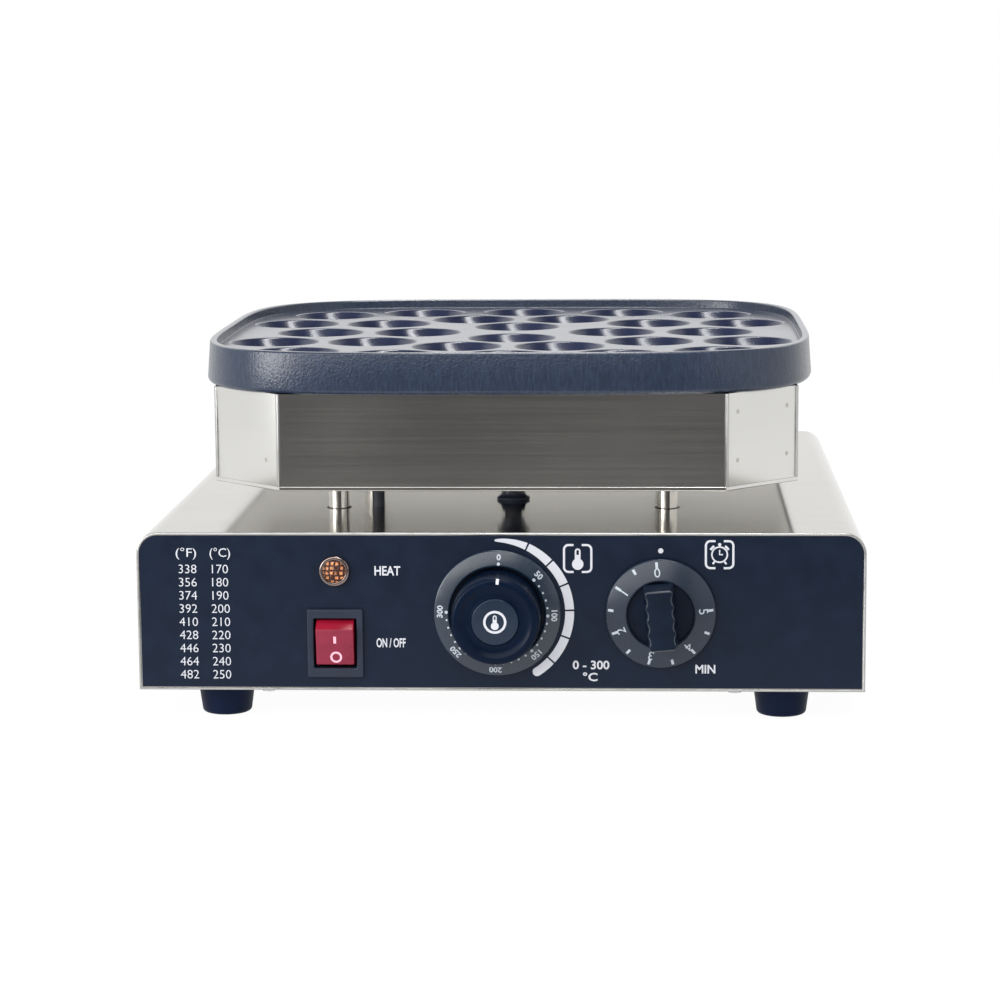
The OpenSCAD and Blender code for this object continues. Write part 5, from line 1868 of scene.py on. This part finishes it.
@dataclass
class PanelPrint:
    """White print on the overlay: the table, the scale's arc, the words and the signs."""

    row_step: float = 6.24 * MM
    top_row_z: float = 72.9 * MM
    fahrenheit_x: float = -145.05 * MM
    celsius_x: float = -129.9 * MM
    first_celsius: int = 170
    celsius_step: int = 10
    rows: int = 9
    digit_h: float = 4.1 * MM
    digit_weight: float = -0.008
    arc_inner: float = 31.4 * MM
    arc_outer: float = 35.5 * MM
    arc_stops: tuple[float, ...] = (-1.0, 25.0, 47.0, 68.0, 89.0, 111.0, 133.0, 147.0)
    arc_gap: float = 1.4
    arc_tip: float = 1.0 * MM
    arc_tip_in: float = 1.7 * MM
    arc_growth: float = 0.7
    outer_growth: float = 1.6
    arc_step: float = 2.0
    frame_half: float = 6.3 * MM
    frame_bend: float = 2.1 * MM
    frame_gap: float = 1.9 * MM
    frame_w: float = 1.0 * MM
    heat_sign: Point = (36.25 * MM, 78.1 * MM)
    heat_sign_h: float = 10.6 * MM
    clock_sign: Point = (101.55 * MM, 80.0 * MM)
    index_r: float = 1.2 * MM
    index_rise: float = 29.0 * MM
    labels: tuple[Label, ...] = (
        Label("(°F)", -145.65 * MM, 80.1 * MM, 5.6 * MM, 9.6 * MM, 0.0),
        Label("(°C)", -129.8 * MM, 80.1 * MM, 5.6 * MM, 9.6 * MM, 0.0),
        Label("HEAT", -51.9 * MM, 72.2 * MM, 4.4 * MM, 12.0 * MM),
        Label("ON / OFF", -50.6 * MM, 38.2 * MM, 4.4 * MM, 13.6 * MM),
        Label("0 - 300", 42.3 * MM, 28.0 * MM, 4.2 * MM, 17.0 * MM),
        Label("°C", 41.9 * MM, 22.4 * MM, 4.2 * MM, 6.8 * MM),
        Label("MIN", 95.2 * MM, 26.2 * MM, 4.1 * MM, 9.2 * MM))

    def build(self) -> None:
        """Print everything."""
        piece = Piece("panel_print", Body.CHASSIS, "overlay_print", WHITE_INK)
        self.table(piece)
        self.scale_arc(piece)
        for label in self.labels:
            text = word(label.text, label.height, label.width, label.weight)
            piece.take(text, panel_place(label.x, label.z, INK))
        self.signs(piece)
        piece.done()

    def table(self, piece: Piece) -> None:
        """Conversion table of round Celsius steps.

        Args:
            piece: Piece that takes the print.
        """
        for row in range(self.rows):
            celsius = self.first_celsius + self.celsius_step * row
            z = self.top_row_z - self.row_step * row
            for x, degrees in ((self.fahrenheit_x, celsius * 9 // 5 + 32), (self.celsius_x, celsius)):
                number = word(str(degrees), self.digit_h, weight=self.digit_weight)
                piece.take(number, panel_place(x, z, INK))

    def scale_arc(self, piece: Piece) -> None:
        """Segmented arc round the dial, which widens from its tip.

        Args:
            piece: Piece that takes the print.
        """
        place = panel_spot("temperature_dial_ring", INK)
        first, last = self.arc_stops[0], self.arc_stops[-1]
        for start, stop in zip(self.arc_stops, self.arc_stops[1:]):
            self.arc_piece(piece, place, start, stop - (self.arc_gap if stop < last else 0.0))
        tip = around(first) @ at(0.0, self.arc_outer - self.arc_tip_in)
        end = around(last) @ at(0.0, (self.arc_inner + self.arc_outer) / 2)
        piece.disc(self.arc_tip / 2, place @ tip)
        piece.disc((self.arc_outer - self.arc_inner) / 2, place @ end)

    def arc_width(self, angle: float) -> Point:
        """Reach of the arc at a clockwise angle.

        Args:
            angle: The angle in degrees.

        Returns:
            Its inner and its outer radius.
        """
        first, _, full = self.arc_stops[:3]
        share = min(1.0, (angle - first) / (full - first)) ** self.arc_growth
        tip = self.arc_outer - self.arc_tip_in
        low, high = tip - self.arc_tip / 2, tip + self.arc_tip / 2
        outer_share = min(1.0, self.outer_growth * share)
        return low + (self.arc_inner - low) * share, high + (self.arc_outer - high) * outer_share

    def arc_piece(self, piece: Piece, place: Matrix, start: float, stop: float) -> None:
        """One segment of the arc.

        Args:
            piece: Piece that takes the print.
            place: Matrix of the arc's middle.
            start: Clockwise angle of its first end, in degrees.
            stop: Clockwise angle of its last end.
        """
        bm = piece.bm
        before = set(bm.faces)
        ends = [bm.verts.new((0.0, r, 0.0)) for r in (self.arc_inner, self.arc_outer)]
        edge = bm.edges.new(ends)
        bmesh.ops.spin(bm, geom=[*ends, edge], cent=(0, 0, 0), axis=(0, 0, 1), angle=(start - stop) * DEGREE,
                       steps=max(4, round((stop - start) / self.arc_step)), use_merge=False,
                       use_duplicate=False)
        for vert in {v for f in piece.since(before) for v in f.verts}:
            low, high = self.arc_width(start + math.atan2(vert.co.x, vert.co.y) / DEGREE)
            vert.co *= (high if vert.co.length > self.arc_inner + MERGE_GAP else low) / vert.co.length
        piece.settle(before, place @ around(start), 0)

    def signs(self, piece: Piece) -> None:
        """Thermometer and clock signs in open frames, and the timer's index dot.

        Args:
            piece: Piece that takes the print.
        """
        heat, clock = (panel_place(*spot, INK) for spot in (self.heat_sign, self.clock_sign))
        self.open_frame(piece, heat)
        self.open_frame(piece, clock)
        ThermometerSign(self.heat_sign_h).print_on(piece, heat)
        ClockSign().print_on(piece, clock)
        piece.disc(self.index_r, panel_spot("timer_knob", INK) @ at(y=self.index_rise))

    def open_frame(self, piece: Piece, place: Matrix) -> None:
        """Round-cornered frame that is open at its top and its bottom.

        Args:
            piece: Piece that takes the print.
            place: Matrix of the frame's middle.
        """
        half, bend = self.frame_half, self.frame_bend
        inner = half - bend
        path = [(self.frame_gap, half), *arc((inner, inner), bend, 90, 0, 6),
                *arc((inner, -inner), bend, 0, -90, 6), (self.frame_gap, -half)]
        for side in (-1, 1):
            piece.stroke([(side * x, y) for x, y in path], self.frame_w, place)


NODE_FINISHES: dict[Finish, tuple[str, ...]] = {
    BASE_STEEL: ("base_cover", "front_panel", "rear_panel"),
    DARK_STEEL: ("bottom_plate", "reflector_plate"),
    HEAD_STEEL: ("head_bottom", "head_front_wall", "head_rear_wall", "head_left_wall", "head_right_wall"),
    OVERLAY_FILM: ("panel_overlay",),
    POST_STEEL: (*(f"support_post_{corner.label}" for corner in Corner), "thermostat_shaft", "timer_shaft"),
    ZINC: ("foot_screws", "panel_screws", "post_nuts", "plate_screws", "clamp_studs", "clamp_nuts",
           "control_screws", "heater_clamps", "switch_terminals"),
    BLACK_PLASTIC: ("cord_gland", "gland_cap", "gland_nut", "pilot_body"),
    SLEEVE_RUBBER: ("wire_conduit", "capillary_sleeve"),
    WOOL: ("insulation_pad",),
    HEAT_TINT_AND_SHADE_STEEL: ("heating_element_front", "heating_element_rear", "timer_body"),
    CERAMIC: ("heater_insulators", "terminal_block", "thermostat_body"),
    COPPER: ("thermostat_bulb", "capillary_tube"),
    WIRE_COVER: ("heater_leads",),
}


def dress_solids() -> None:
    """Give every solid that stays in view its finish."""
    for finish, nodes in NODE_FINISHES.items():
        for node in nodes:
            for slot in frame["nodes"][node].material_slots:
                slot.material = material_of(finish)
            LOG.info("%s: %s", node, finish.name)


def write_sizes() -> None:
    """Update the view layer."""
    bpy.context.view_layer.update()


def main() -> None:
    """Build the studio, every sub-assembly and the finishes, in order."""
    logging.basicConfig(level=logging.INFO, format="%(name)s %(message)s")
    Studio().build()
    for assembly in (BakingPlate(), Head(), Housing(), TemperatureDial(), TimerDial(), PowerSwitch(),
                     PilotLight(), PanelPrint()):
        assembly.build()
    dress_solids()
    write_sizes()


if __name__ == "__main__":
    main()
